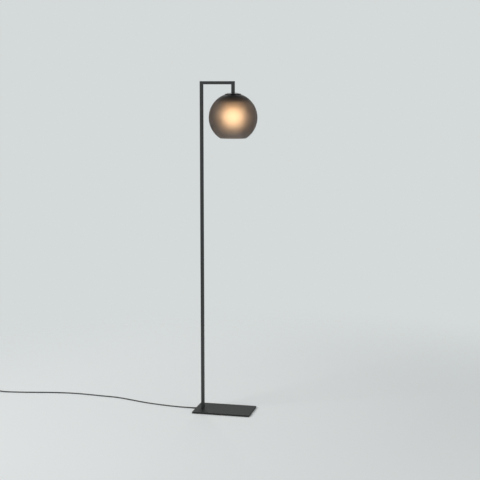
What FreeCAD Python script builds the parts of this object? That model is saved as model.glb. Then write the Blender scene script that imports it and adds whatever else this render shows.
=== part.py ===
import FreeCAD, Part
import math
import os
import re
import Sketcher
from FreeCAD import Placement, Rotation, Vector

# Globe floor lamp: a square post on a flat plate, a short arm, and a smoked glass globe hanging from it.
# Frame: +X along the arm, +Y away from the viewer, +Z up, origin on the floor under the middle of the lamp's
# bounding box (the cord and what is on it left out). Millimetres.

doc = FreeCAD.newDocument("globe_floor_lamp")
sheet = doc.addObject("Spreadsheet::Sheet", "Sizes")

SIZES = {
    # whole lamp
    "overall_height": 1500,
    "arm_reach": 144,  # post axis to globe axis
    "head_drop": 160,  # top of the arm to the globe's centre
    # square tube
    "tube_width": 14,
    "tube_wall": 1.2,
    "tube_corner": 1.2,
    # base
    "base_length": 266,
    "base_width": 160,
    "base_thickness": 6,
    "base_corner": 1.5,
    "base_edge": 0.5,
    "post_inset": 31,  # post axis to the base's short edge
    "recess_radius": 11,
    "recess_depth": 4.4,
    "groove_width": 9,
    "foot_radius": 8,
    "foot_height": 2,
    "foot_inset": 14,
    # threaded fittings, drawn at their major diameter
    "thread_radius": 5,
    "nipple_bore": 3.5,
    "thread_gap": 0.1,
    "plug_gap": 0.1,  # threaded plugs and the joining sleeve inside the tube
    "plug_length": 14,
    "plug_hold": 10,  # length of nipple inside a threaded plug
    "washer_radius": 10,
    "washer_height": 0.8,
    "base_nut_height": 2.2,
    "nut_flats": 14,
    # joint in the post
    "joint_height": 750,
    "sleeve_length": 80,
    "sleeve_wall": 1.5,
    "grub_radius": 2,
    "grub_offset": 22,
    # globe and what holds it
    "globe_radius": 108,
    "glass_thickness": 2.5,
    "mouth_drop": 91,  # globe centre to the plane of its mouth
    "shade_hole_radius": 21,
    "cap_radius": 36,
    "cap_thickness": 1.2,
    "cap_flat_radius": 11,
    "seal_thickness": 1,
    "seal_gap": 0.15,
    "seal_width": 12,
    "collar_gap": 0.4,
    "carrier_radius": 28,
    "carrier_thickness": 2,
    "carrier_gap": 0.4,  # its flange to the glass
    "carrier_nut_height": 3,
    # lampholder
    "holder_radius": 17,
    "holder_gap": 0.3,  # lampholder to the nut above it
    "holder_cap_height": 17,
    "holder_skirt_height": 27,
    "holder_wall": 1.8,
    "holder_shoulder": 5,
    "holder_rim_edge": 1,
    "core_height": 6.5,
    "shell_radius": 13.9,
    "shell_wall": 0.4,
    "shell_length": 24,
    "shell_gap": 0.2,  # to the skirt around it
    "contact_height": 2,
    "contact_leaf": 0.6,
    "contact_width": 5,
    "terminal_length": 6,
    "terminal_width": 5,
    "terminal_floor": 1,  # left under the wire in a terminal
    "terminal_spread": 7,
    "terminal_height": 4,
    # bulb
    "bulb_radius": 45,
    "bulb_wall": 1,
    "bulb_neck_radius": 17,
    "bulb_collar_height": 6,
    "bulb_collar_lip": 0.3,
    "bulb_cap_radius": 13.05,
    "bulb_cap_length": 19,
    "bulb_cap_edge": 1,
    "bulb_insulator_height": 6,
    "bulb_insulator_tip": 5,
    "bulb_contact_radius": 4.5,
    "bulb_contact_height": 1,
    "bulb_gap": 0.3,  # to the centre contact at rest
    # wires inside the tubes
    "wire_radius": 1.1,
    "wire_spread": 1.3,
    "wire_gap": 0.3,  # where the wires turn under a nut or a roof
    # cord
    "cord_radius": 2.6,
    "cord_rest": 2.9,  # cord axis above the floor
    "relief_height": 3.6,  # cord axis where it leaves the base
    "relief_length": 22,
    "relief_root": 3.3,
    "relief_tip": 2.9,
    "relief_block": 10,
    "relief_gap": 0.2,
    # foot switch
    "switch_length": 76,
    "switch_width": 42,
    "switch_height": 20,
    "switch_corner": 12,
    "switch_wall": 2,
    "switch_lip": 1,  # how much thicker the cover's side is
    "switch_entry": 6,  # cord axis in the switch, and the height of its tray
    "switch_edge": 4,
    "button_radius": 13,
    "button_gap": 0.5,
    "button_rise": 4.5,
    "button_travel": 3.5,
    "button_play": 0.3,  # its flange to the cover above it
    "button_flange": 1.5,
    "button_edge": 1.5,
    "stem_hold": 1,  # length of stem in its well at rest
    "stem_drop": 2,  # left under the stem at full travel
    "stem_radius": 3,
    "mechanism_length": 52,
    "mechanism_width": 12,
    "mechanism_height": 8,
    "screw_radius": 1.5,
    "screw_length": 7,
    "screw_x": 27,
    "screw_y": 10,
    # coil of the cord's spare length
    "coil_radius": 37,
    "coil_pitch": 6,
    "coil_turns": 2,  # in each of two layers
    "coil_rise": 6,
    "coil_rest": 4,
    "strap_width": 10,
    "strap_thickness": 0.6,
    "strap_gap": 0.7,
    # plug
    "plug_thickness": 13.7,
    "plug_width": 35,
    "plug_tail_width": 16,
    "plug_body": 37,
    "plug_relief": 26,
    "plug_shoulder": 15,
    "plug_corner": 3,
    "plug_edge": 2,
    "plug_rest": 0.05,  # plug to the floor
    "pin_radius": 2,
    "pin_length": 19,
    "pin_spacing": 19,
}
for row, (alias, value) in enumerate(SIZES.items(), start=1):
    sheet.set(f"A{row}", alias.replace("_", " "))
    sheet.set(f"B{row}", str(value))
    sheet.setAlias(f"B{row}", alias)
doc.recompute()

# Lengths that follow from the driving sizes, as formulas on them.
DERIVED = {
    "reach": "max(base_length - post_inset; arm_reach + globe_radius)",
    "post_x": "(post_inset - reach) / 2",
    "head_x": "post_x + arm_reach",
    "base_left": "post_x - post_inset",
    "plate_top": "foot_height + base_thickness",
    "recess_top": "foot_height + recess_depth",
    "tube_bore": "tube_width - 2 * tube_wall",
    "base_nut_foot": "recess_top - washer_height - base_nut_height",
    "base_nipple_foot": "base_nut_foot - thread_gap",
    "globe_z": "overall_height - head_drop",
    "glass_inner": "globe_radius - glass_thickness",
    "cap_inner": "globe_radius + seal_thickness",
    "cap_outer": "cap_inner + cap_thickness",
    "cap_flat": "sqrt(cap_outer ^ 2 - cap_flat_radius ^ 2)",
    "cap_top": "globe_z + cap_flat",
    "carrier_top": "sqrt(glass_inner ^ 2 - carrier_radius ^ 2) - carrier_gap",
    "carrier_foot": "carrier_top - carrier_thickness",
    "holder_top": "globe_z + carrier_foot - carrier_nut_height - holder_gap",
    "holder_rim": "holder_top - holder_cap_height - holder_skirt_height",
    "core_top": "holder_top - holder_wall - 2 * wire_radius - 2 * wire_gap - terminal_height",
    "core_foot": "core_top - core_height",
    "contact_foot": "core_foot - contact_height",
    "bulb_tip": "contact_foot - bulb_gap",
    "bulb_shoulder": "bulb_tip - bulb_contact_height - bulb_insulator_height",
    "bulb_rim": "bulb_shoulder - bulb_cap_length",
    "bulb_neck_rise": "sqrt(bulb_radius ^ 2 - bulb_neck_radius ^ 2)",
    "bulb_z": "bulb_rim - bulb_collar_height - bulb_neck_rise",
    "thread_bore": "thread_radius + thread_gap",
}


def formula(text):
    """The text with every derived length written out and every size named as a cell of the sheet."""
    while True:
        longer = re.sub(r"[a-z_]+", lambda word: f"({DERIVED[word[0]]})" if word[0] in DERIVED else word[0], text)
        if longer == text:
            return re.sub(r"[a-z_]+", lambda word: f"Sizes.{word[0]}" if word[0] in SIZES else word[0], text)
        text = longer


def number(text):
    """What a formula comes to now."""
    return float(sheet.evalExpression(formula(text)))


def bind(thing, **formulas):
    """Tie properties of an object to formulas; x, y and z are its place."""
    for key, text in formulas.items():
        name = f"Placement.Base.{key}" if key in ("x", "y", "z") else key
        thing.setExpression(name, formula(text))


def plane(body, role):
    return next(feature for feature in body.Origin.OriginFeatures if feature.Role == role)


def new_sketch(body, name, role):
    sketch = body.newObject("Sketcher::SketchObject", name)
    sketch.AttachmentSupport = (plane(body, role), [""])
    sketch.MapMode = "FlatFace"
    return sketch


def fix(sketch, kind, element, text):
    """One dimension of a sketch, tied to a formula; element is (geometry, point)."""
    value = number(text)
    if kind == "Radius":
        index = sketch.addConstraint(Sketcher.Constraint(kind, element[0], value))
    else:
        index = sketch.addConstraint(Sketcher.Constraint(kind, -1, 1, *element, value))
    sketch.setExpression(f"Constraints[{index}]", formula(text))


def loop(sketch, corners, arcs=None):
    """A closed outline through corners, pairs of formulas. A formula after ~ is only where a coordinate starts,
    and an arc sets it. arcs gives, for the side after a corner, (centre x, centre y, radius, anticlockwise)."""
    arcs = arcs or {}
    first = sketch.GeometryCount
    spots = [Vector(number(a.strip("~")), number(b.strip("~")), 0) for a, b in corners]
    ends = []
    for side, (start, end) in enumerate(zip(spots, spots[1:] + spots[:1])):
        if side in arcs:
            across, up, radius, left = arcs[side]
            centre = Vector(number(across.strip("~")), number(up.strip("~")), 0)
            a, b = (start, end) if left else (end, start)
            angles = [math.atan2(spot.y - centre.y, spot.x - centre.x) for spot in (a, b)]
            circle = Part.Circle(centre, Vector(0, 0, 1), number(radius))
            sketch.addGeometry(Part.ArcOfCircle(circle, *angles), False)
            ends.append((1, 2) if left else (2, 1))
        else:
            sketch.addGeometry(Part.LineSegment(start, end), False)
            ends.append((1, 2))
    count = len(corners)
    for side in range(count):
        after = (side + 1) % count
        joined = (first + side, ends[side][1], first + after, ends[after][0])
        sketch.addConstraint(Sketcher.Constraint("Coincident", *joined))
    for side, (across, up) in enumerate(corners):
        for kind, text in (("DistanceX", across), ("DistanceY", up)):
            if not text.startswith("~"):
                fix(sketch, kind, (first + side, ends[side][0]), text)
    for side, (across, up, radius, _) in arcs.items():
        fix(sketch, "Radius", (first + side,), radius)
        for kind, text in (("DistanceX", across), ("DistanceY", up)):
            if not text.startswith("~"):
                fix(sketch, kind, (first + side, 3), text)


def ring(sketch, across, up, radius):
    centre = Vector(number(across), number(up), 0)
    index = sketch.addGeometry(Part.Circle(centre, Vector(0, 0, 1), number(radius)), False)
    fix(sketch, "Radius", (index,), radius)
    fix(sketch, "DistanceX", (index, 3), across)
    fix(sketch, "DistanceY", (index, 3), up)


def box_corners(low_x, low_y, high_x, high_y):
    return [(low_x, low_y), (high_x, low_y), (high_x, high_y), (low_x, high_y)]


def rounded(sketch, length, width, radius):
    """A rectangle about the sketch's origin, with round corners."""
    x, y = f"({length}) / 2", f"({width}) / 2"
    ix, iy = f"({x} - ({radius}))", f"({y} - ({radius}))"
    corners = [
        (f"-{ix}", f"-({y})"), (ix, f"-({y})"), (x, f"-{iy}"), (x, iy),
        (ix, y), (f"-{ix}", y), (f"-({x})", iy), (f"-({x})", f"-{iy}"),
    ]
    centres = {1: (f"~{ix}", f"~-{iy}"), 3: (f"~{ix}", f"~{iy}"), 5: (f"~-{ix}", f"~{iy}"), 7: (f"~-{ix}", f"~-{iy}")}
    loop(sketch, corners, {side: (*centre, radius, True) for side, centre in centres.items()})


def pad(body, sketch, name, length, from_z="0"):
    feature = body.newObject("PartDesign::Pad", name)
    feature.Profile = sketch
    bind(feature, Length=length)
    sketch.setExpression("AttachmentOffset.Base.z", formula(from_z))
    return feature


def pocket(body, sketch, name, depth, from_z="0", reverse=False):
    """Cut along the sketch's own normal, or against it, from from_z along that normal."""
    feature = body.newObject("PartDesign::Pocket", name)
    feature.Profile = sketch
    feature.Reversed = not reverse
    bind(feature, Length=depth)
    sketch.setExpression("AttachmentOffset.Base.z", formula(from_z))
    return feature


def new_body(name, x="0", y="0", z="0"):
    body = doc.addObject("PartDesign::Body", name)
    bind(body, x=x, y=y, z=z)
    return body


def turned(name, corners, arcs=None, x="head_x", y="0", z="0"):
    """A piece turned about its own Z axis, from an outline in (radius, height)."""
    body = new_body(name, x, y, z)
    sketch = new_sketch(body, f"{name}_profile", "XZ_Plane")
    loop(sketch, corners, arcs)
    turn = body.newObject("PartDesign::Revolution", f"{name}_turn")
    turn.Profile = sketch
    turn.ReferenceAxis = (sketch, ["V_Axis"])
    turn.Angle = 360
    return body


def tube_profile(inner, outer, low, high):
    """The outline of a turned tube."""
    return box_corners(inner, low, outer, high)


def edges_near(shape, test):
    return [f"Edge{k}" for k, edge in enumerate(shape.Edges, start=1) if test(edge)]


def dress(body, kind, name, size, test):
    """A fillet or chamfer on those edges of a body's last feature that pass a test."""
    doc.recompute()
    base = body.Tip
    feature = body.newObject(f"PartDesign::{kind}", name)
    feature.Base = (base, edges_near(base.Shape, test))
    bind(feature, **{"Radius" if kind == "Fillet" else "Size": size})
    return feature


def is_upright(edge):
    return len(edge.Vertexes) == 2 and edge.tangentAt(edge.FirstParameter).cross(Vector(0, 0, 1)).Length < 1e-6


def lies_at(edge, z):
    return abs(edge.BoundBox.ZMin - z) < 1e-4 and abs(edge.BoundBox.ZMax - z) < 1e-4


def cylinder(name, radius, height, x="0", y="0", z="0", rotation=None):
    thing = doc.addObject("Part::Cylinder", name)
    if rotation:
        thing.Placement = Placement(Vector(), rotation)
    bind(thing, Radius=radius, Height=height, x=x, y=y, z=z)
    return thing


def round_at(spot, name, height, radius, tip_radius=None, rotation=None):
    """A cylinder, or a cone with a tip_radius, that stands at a point of the cord's route."""
    thing = doc.addObject("Part::Cone" if tip_radius else "Part::Cylinder", name)
    thing.Placement = Placement(spot, rotation or Rotation())
    if tip_radius:
        bind(thing, Radius1=radius, Radius2=tip_radius, Height=height)
    else:
        bind(thing, Radius=radius, Height=height)
    return thing


def cut(name, base, *tools):
    """base less tools."""
    if len(tools) > 1:
        tool = doc.addObject("Part::MultiFuse", f"{name}_cutters")
        tool.Shapes = list(tools)
    else:
        tool = tools[0]
    thing = doc.addObject("Part::Cut", name)
    thing.Base, thing.Tool = base, tool
    return thing


def group(name, *solids):
    thing = doc.addObject("Part::Compound", name)
    thing.Links = list(solids)
    return thing


TO_LEFT = Rotation(Vector(0, 1, 0), -90)  # +Z turned to -X
TO_RIGHT = Rotation(Vector(0, 1, 0), 90)  # +Z turned to +X
TO_BACK = Rotation(Vector(1, 0, 0), -90)  # +Z turned to +Y
TO_FRONT = Rotation(Vector(1, 0, 0), 90)  # +Z turned to -Y


# Base


def make_base_plate():
    """Flat plate with a nut recess under the post and a groove from it to the short edge for the cord."""
    body = new_body("base_plate", "post_x", "0", "foot_height")
    outline = new_sketch(body, "base_outline", "XY_Plane")
    loop(outline, box_corners("-post_inset", "-base_width / 2", "base_length - post_inset", "base_width / 2"))
    ring(outline, "0", "0", "thread_bore")
    pad(body, outline, "base_pad", "base_thickness")
    dress(body, "Fillet", "base_corners", "base_corner", is_upright)
    top = number("base_thickness")
    far = number("post_inset / 2")
    dress(body, "Chamfer", "base_edges", "base_edge",
          lambda edge: lies_at(edge, top) and edge.CenterOfMass.Length > far)
    recess = new_sketch(body, "nut_recess_outline", "XY_Plane")
    ring(recess, "0", "0", "recess_radius")
    pocket(body, recess, "nut_recess", "recess_depth")
    groove = new_sketch(body, "cord_groove_outline", "XY_Plane")
    loop(groove, box_corners("-post_inset - 1", "-groove_width / 2", "0", "groove_width / 2"))
    pocket(body, groove, "cord_groove", "recess_depth")
    return body


def make_base_feet():
    left, right = "base_left + foot_inset", "base_left + base_length - foot_inset"
    near, far = "-base_width / 2 + foot_inset", "base_width / 2 - foot_inset"
    spots = [(x, y) for x in (left, right) for y in (near, far)]
    feet = [cylinder(f"foot_{k}", "foot_radius", "foot_height", x, y) for k, (x, y) in enumerate(spots, start=1)]
    return group("base_feet", *feet)


def make_base_washer():
    return turned("base_washer", tube_profile("thread_bore", "washer_radius", "0", "washer_height"),
                  x="post_x", z="recess_top - washer_height")


def make_nut(name, height, x, z):
    """Hexagon nut with its bore at the thread's major diameter."""
    blank = doc.addObject("Part::Prism", f"{name}_blank")
    blank.Polygon = 6
    bind(blank, Circumradius="nut_flats / sqrt(3)", Height=height, x=x, z=z)
    return cut(name, blank, cylinder(f"{name}_bore", "thread_bore", height, x, z=z))


def make_nipple(name, low, high, x):
    """Hollow threaded pipe that the wires pass through."""
    return turned(name, tube_profile("nipple_bore", "thread_radius", "0", f"({high}) - ({low})"), x=x, z=low)


def make_threaded_plug(name, x, z):
    """Square block in the end of a tube, bored for a nipple."""
    body = new_body(name, x, "0", z)
    sketch = new_sketch(body, f"{name}_outline", "XY_Plane")
    half = "(tube_bore / 2 - plug_gap)"
    loop(sketch, box_corners(f"-{half}", f"-{half}", half, half))
    ring(sketch, "0", "0", "thread_bore")
    pad(body, sketch, f"{name}_pad", "plug_length")
    return body


# Post, arm and drop tube


def square_tube(name, length, mitres, x, z, rotation=None):
    """A length of tube along its own Z. mitres holds (end, side): end is foot or head, and side is the sign of
    the X that the mitre shortens."""
    body = doc.addObject("PartDesign::Body", name)
    if rotation:
        body.Placement = Placement(Vector(), rotation)
    bind(body, x=x, z=z)
    section = new_sketch(body, f"{name}_section", "XY_Plane")
    rounded(section, "tube_width", "tube_width", "tube_corner")
    half = "(tube_bore / 2)"
    loop(section, box_corners(f"-{half}", f"-{half}", half, half))
    pad(body, section, f"{name}_pad", length)
    for end, side in mitres:
        wedge = new_sketch(body, f"{name}_{end}_mitre_outline", "XZ_Plane")
        flip = "" if side > 0 else "-"
        across = [f"{flip}(-1.5 * tube_width)", f"{flip}(1.5 * tube_width)", f"{flip}(1.5 * tube_width)"]
        if end == "head":
            up = [f"{length} + tube_width", f"{length} + tube_width", f"{length} - 2 * tube_width"]
        else:
            up = ["-tube_width", "-tube_width", "2 * tube_width"]
        loop(wedge, list(zip(across, up)))
        mitre = body.newObject("PartDesign::Pocket", f"{name}_{end}_mitre")
        mitre.Profile = wedge
        mitre.Midplane = True
        bind(mitre, Length="2 * tube_width")
    return body


def grub_holes(name, radius, heights, start="0"):
    """Cylinders through the post's back wall, one at each height."""
    return [cylinder(f"{name}_{k}", radius, "tube_width", "post_x", start, z, TO_BACK)
            for k, z in enumerate(heights, start=1)]


LOWER_GRUB = "joint_height - grub_offset"
UPPER_GRUB = "joint_height + grub_offset"


def make_post_lower():
    tube = square_tube("post_lower_tube", "joint_height - plate_top", [], "post_x", "plate_top")
    return cut("post_lower", tube, *grub_holes("post_lower_hole", "grub_radius + thread_gap", [LOWER_GRUB]))


def make_post_upper():
    tube = square_tube("post_upper_tube", "(overall_height - joint_height)", [("head", 1)], "post_x", "joint_height")
    return cut("post_upper", tube, *grub_holes("post_upper_hole", "grub_radius + thread_gap", [UPPER_GRUB]))


def make_post_sleeve():
    """Square sleeve inside the post that joins its two lengths."""
    body = new_body("post_sleeve_tube", "post_x", "0", "joint_height - sleeve_length / 2")
    section = new_sketch(body, "post_sleeve_section", "XY_Plane")
    outer, inner = "(tube_bore / 2 - plug_gap)", "(tube_bore / 2 - plug_gap - sleeve_wall)"
    for half in (outer, inner):
        loop(section, box_corners(f"-{half}", f"-{half}", half, half))
    pad(body, section, "post_sleeve_pad", "sleeve_length")
    holes = grub_holes("post_sleeve_hole", "grub_radius + thread_gap", [LOWER_GRUB, UPPER_GRUB])
    return cut("post_sleeve", body, *holes)


def make_grub_screws():
    inner = "tube_bore / 2 - plug_gap - sleeve_wall"
    screws = grub_holes("grub_screw", "grub_radius", [LOWER_GRUB, UPPER_GRUB], inner)
    for screw in screws:
        bind(screw, Height=f"tube_width / 2 - ({inner})")
    return group("grub_screws", *screws)


def make_arm():
    ends = [("foot", 1), ("head", 1)]
    return square_tube("arm", "(arm_reach + tube_width)", ends, "post_x - tube_width / 2",
                       "overall_height - tube_width / 2", TO_RIGHT)


def make_drop_tube():
    return square_tube("drop_tube", "(overall_height - (cap_top))", [("head", -1)], "head_x", "cap_top")


# Head: cap, globe and what clamps them to the drop tube


def make_shade_cap():
    """Domed steel cap that follows the glass, with a flat seat for the drop tube."""
    flat_inner = "cap_flat - cap_thickness"
    corners = [
        ("cap_radius", "~sqrt(cap_outer ^ 2 - cap_radius ^ 2)"),
        ("cap_flat_radius", "cap_flat"),
        ("thread_bore", "cap_flat"),
        ("thread_bore", flat_inner),
        ("~sqrt(cap_inner ^ 2 - (cap_flat - cap_thickness) ^ 2)", flat_inner),
        ("cap_radius", "~sqrt(cap_inner ^ 2 - cap_radius ^ 2)"),
    ]
    arcs = {0: ("0", "~0", "cap_outer", True), 4: ("0", "0", "cap_inner", False)}
    return turned("shade_cap", corners, arcs, z="globe_z")


def make_upper_seal():
    """Soft ring between the cap and the glass."""
    low, high = "globe_radius + seal_gap", "cap_inner - seal_gap"
    inner, outer = "shade_hole_radius + seal_thickness", "shade_hole_radius + seal_thickness + seal_width"
    corners = [
        (outer, f"~sqrt(({high}) ^ 2 - ({outer}) ^ 2)"), (inner, f"~sqrt(({high}) ^ 2 - ({inner}) ^ 2)"),
        (inner, f"~sqrt(({low}) ^ 2 - ({inner}) ^ 2)"), (outer, f"~sqrt(({low}) ^ 2 - ({outer}) ^ 2)"),
    ]
    return turned("upper_seal", corners, {0: ("0", "0", high, True), 2: ("0", "0", low, False)}, z="globe_z")


def make_shade():
    """Blown glass globe, open below, with a hole at the top for its carrier."""
    corners = [
        ("~sqrt(globe_radius ^ 2 - mouth_drop ^ 2)", "-mouth_drop"),
        ("shade_hole_radius", "~sqrt(globe_radius ^ 2 - shade_hole_radius ^ 2)"),
        ("shade_hole_radius", "~sqrt((glass_inner) ^ 2 - shade_hole_radius ^ 2)"),
        ("~sqrt((glass_inner) ^ 2 - mouth_drop ^ 2)", "-mouth_drop"),
    ]
    arcs = {0: ("0", "0", "globe_radius", True), 2: ("0", "0", "glass_inner", False)}
    return turned("shade", corners, arcs, z="globe_z")


def make_lower_seal():
    """Soft wedge-shaped ring between the carrier's flange and the glass."""
    under = "glass_inner - seal_gap"
    inner, outer, low = "shade_hole_radius", "carrier_radius - carrier_gap", "carrier_top + seal_gap"
    corners = [
        (outer, low), (outer, f"~sqrt(({under}) ^ 2 - ({outer}) ^ 2)"),
        (inner, f"~sqrt(({under}) ^ 2 - ({inner}) ^ 2)"), (inner, low),
    ]
    return turned("lower_seal", corners, {1: ("0", "0", under, True)}, z="globe_z")


def make_shade_carrier():
    """Stepped disc: its collar centres the glass's hole and its flange lifts the glass against the cap."""
    collar = "shade_hole_radius - collar_gap"
    collar_top = "sqrt((cap_inner) ^ 2 - shade_hole_radius ^ 2) - seal_gap"
    corners = [
        ("thread_bore", "carrier_foot"), ("carrier_radius", "carrier_foot"), ("carrier_radius", "carrier_top"),
        (collar, "carrier_top"), (collar, collar_top), ("thread_bore", collar_top),
    ]
    return turned("shade_carrier", corners, z="globe_z")


# Lampholder


def make_holder_cap():
    """Domed upper half of the lampholder, with a threaded neck."""
    wall, bend, low = "holder_wall", "holder_shoulder", "-holder_cap_height"
    shoulder, inner = f"holder_radius - {bend}", f"holder_radius - {wall}"
    corners = [
        ("holder_radius", low), ("holder_radius", f"-{bend}"), (shoulder, "0"), ("thread_bore", "0"),
        ("thread_bore", f"-{wall}"), (shoulder, f"-{wall}"), (inner, f"-{bend}"), (inner, low),
    ]
    middle = (f"~{shoulder}", f"~-{bend}")
    arcs = {1: (*middle, bend, True), 5: (*middle, f"{bend} - {wall}", False)}
    return turned("holder_cap", corners, arcs, z="holder_top")


def make_holder_skirt():
    """Lower half of the lampholder, with a rounded rim."""
    top, edge, inner = "holder_skirt_height", "holder_rim_edge", "shell_radius + shell_gap"
    corners = [
        (f"holder_radius - {edge}", "0"), ("holder_radius", edge), ("holder_radius", top), (inner, top), (inner, "0"),
    ]
    arcs = {0: (f"~holder_radius - {edge}", f"~{edge}", edge, True)}
    return turned("holder_skirt", corners, arcs, z="holder_rim")


def make_holder_core():
    """Porcelain disc that carries the shell, the contact and the terminals."""
    half = "shell_radius"
    corners = [("0", "0"), (half, "0"), (half, "core_height"), ("0", "core_height")]
    return turned("holder_core", corners, z="core_foot")


def make_holder_shell():
    """Metal shell that the bulb's cap screws into, drawn without its rolled thread."""
    inner = "shell_radius - shell_wall"
    return turned("holder_shell", tube_profile(inner, "shell_radius", "-shell_length", "0"), z="core_foot")


def make_holder_contact():
    """Centre contact: a leaf folded back on itself under the core."""
    half, leaf, high = "thread_radius", "contact_leaf", "contact_height"
    corners = [(f"-{half}", "0"), (half, "0"), (half, high), (f"{half} - 2 * {leaf}", high),
               (f"{half} - 2 * {leaf}", leaf), (f"-{half}", leaf)]
    body = new_body("holder_contact", "head_x", "0", "contact_foot")
    sketch = new_sketch(body, "holder_contact_side", "XZ_Plane")
    loop(sketch, corners)
    strip = body.newObject("PartDesign::Pad", "holder_contact_pad")
    strip.Profile = sketch
    strip.Midplane = True
    bind(strip, Length="contact_width")
    return body


def make_holder_terminals():
    blocks = []
    for k, side in enumerate((-1, 1), start=1):
        block = doc.addObject("Part::Box", f"terminal_block_{k}")
        bind(block, Length="terminal_length", Width="terminal_width", Height="terminal_height",
             x="head_x - terminal_length / 2", y=f"{side} * terminal_spread - terminal_width / 2", z="core_top")
        hole = cylinder(f"terminal_hole_{k}", "wire_radius + thread_gap", "terminal_height", "head_x",
                        f"{side} * terminal_spread", "core_top + terminal_floor")
        blocks.append(cut(f"terminal_{k}", block, hole))
    return group("holder_terminals", *blocks)


# Bulb


def make_bulb_contact():
    """Soldered contact, a low cone with a flat top."""
    radius, top = "bulb_contact_radius", "bulb_contact_height"
    corners = [("0", "0"), (radius, "0"), (radius, f"{top} / 2"), (f"{radius} - {top}", top), ("0", top)]
    return turned("bulb_contact", corners, z="bulb_tip - bulb_contact_height")


def make_bulb_insulator():
    top = "bulb_insulator_height"
    cone = [("0", "0"), ("bulb_cap_radius - bulb_cap_edge", "0"), ("bulb_insulator_tip", top), ("0", top)]
    return turned("bulb_insulator", cone, z="bulb_shoulder")


def make_bulb_cap():
    """Screw cap, drawn without its rolled thread."""
    length, radius, edge = "bulb_cap_length", "bulb_cap_radius", "bulb_cap_edge"
    corners = [("0", "0"), (radius, "0"), (radius, f"{length} - {edge}"), (f"{radius} - {edge}", length), ("0", length)]
    return turned("bulb_cap", corners, z="bulb_rim")


def make_bulb_housing():
    """Short flared collar from the screw cap to the glass."""
    corners = [("0", "-bulb_collar_height"), ("bulb_neck_radius", "-bulb_collar_height"),
               ("bulb_cap_radius + bulb_collar_lip", "-bulb_cap_edge"), ("bulb_cap_radius + bulb_collar_lip", "0"),
               ("0", "0")]
    arcs = {1: ("~bulb_neck_radius + bulb_collar_height", "~0", "1.5 * bulb_collar_height", False)}
    return turned("bulb_housing", corners, arcs, z="bulb_rim")


def make_bulb_globe():
    inner = "(bulb_radius - bulb_wall)"
    corners = [
        ("0", "-bulb_radius"), ("~bulb_neck_radius", "bulb_neck_rise"),
        (f"~sqrt({inner} ^ 2 - (bulb_neck_rise) ^ 2)", "bulb_neck_rise"), ("0", f"-{inner}"),
    ]
    arcs = {0: ("0", "~0", "bulb_radius", True), 2: ("0", "~0", inner, False)}
    return turned("bulb_globe", corners, arcs, z="bulb_z")


# Wires and cord


def bends_of(points, radii):
    """The straight runs and tangent arcs of a route, as edges. radii holds one radius for each inner point."""
    edges, start = [], points[0]
    for k, radius in enumerate(radii, start=1):
        before = (points[k] - points[k - 1]).normalize()
        after = (points[k + 1] - points[k]).normalize()
        turn = before.getAngle(after)
        back = radius * math.tan(turn / 2)
        entry, leave = points[k] - before * back, points[k] + after * back
        towards = (after - before).normalize()
        middle = points[k] + towards * (radius / math.cos(turn / 2) - radius)
        edges.append(Part.LineSegment(start, entry).toShape())
        edges.append(Part.Arc(entry, middle, leave).toShape())
        start = leave
    edges.append(Part.LineSegment(start, points[-1]).toShape())
    return edges


def free_radii(points):
    """The radii of a free cord's bends: as large as the runs beside each allow."""
    radii = []
    for k in range(1, len(points) - 1):
        before, after = points[k] - points[k - 1], points[k + 1] - points[k]
        turn = before.getAngle(after)
        radii.append(0.45 * min(before.Length, after.Length) / math.tan(turn / 2))
    return radii


def tube_along(edges, radius):
    """A round bar along joined edges."""
    path = Part.Wire(edges)
    start = edges[0].valueAt(edges[0].FirstParameter)
    along = edges[0].tangentAt(edges[0].FirstParameter)
    section = Part.Wire([Part.Circle(start, along, radius).toShape()])
    return path.makePipeShell([section], True, False)


def add_shape(name, shape):
    thing = doc.addObject("Part::Feature", name)
    thing.Shape = shape
    return thing


def add_cord(name, points):
    """A stretch of free cord; its radii, and its volume against section times length, are printed."""
    radii, radius = free_radii(points), number("cord_radius")
    edges = bends_of(points, radii)
    shape = tube_along(edges, radius)
    length = sum(edge.Length for edge in edges)
    share = shape.Volume / (math.pi * radius ** 2 * length)
    runs = [(b - a).Length for a, b in zip(points, points[1:])]
    print(f"{name}: {length:.0f} mm, least radius {min(radii):.0f} mm, runs {min(runs):.0f} to {max(runs):.0f} mm,",
          f"volume {share:.4f} of section times length")
    return add_shape(name, shape), length


def make_wires():
    """Two insulated wires from the strain relief through the post, arm and drop tube to the terminals."""
    x, head = number("post_x"), number("head_x")
    inlet = number("base_left + relief_block + wire_gap")
    low = number("base_nipple_foot - wire_gap - wire_radius")
    high = number("overall_height - tube_width / 2")
    spread = number("wire_spread")
    far = number("terminal_spread")
    fork = number("core_top + terminal_height + wire_gap + wire_radius")
    corner = number("tube_bore / 2")
    thick = number("wire_radius")
    wide_bend = min(15, (math.sqrt(2) * corner - thick) / (math.sqrt(2) - 1))
    solids = []
    for side in (-1, 1):
        y = side * spread
        points = [
            Vector(inlet, y, number("relief_height")), Vector(x - 9, y, low), Vector(x, y, low),
            Vector(x, y, high), Vector(head, y, high), Vector(head, y, fork),
            Vector(head, side * far, fork), Vector(head, side * far, number("core_top + terminal_floor")),
        ]
        radii = [6, 3.6, wide_bend, wide_bend, 2.2, 1.3]
        solids.append(tube_along(bends_of(points, radii), thick))
    return add_shape("inner_wires", Part.makeCompound(solids))


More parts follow.
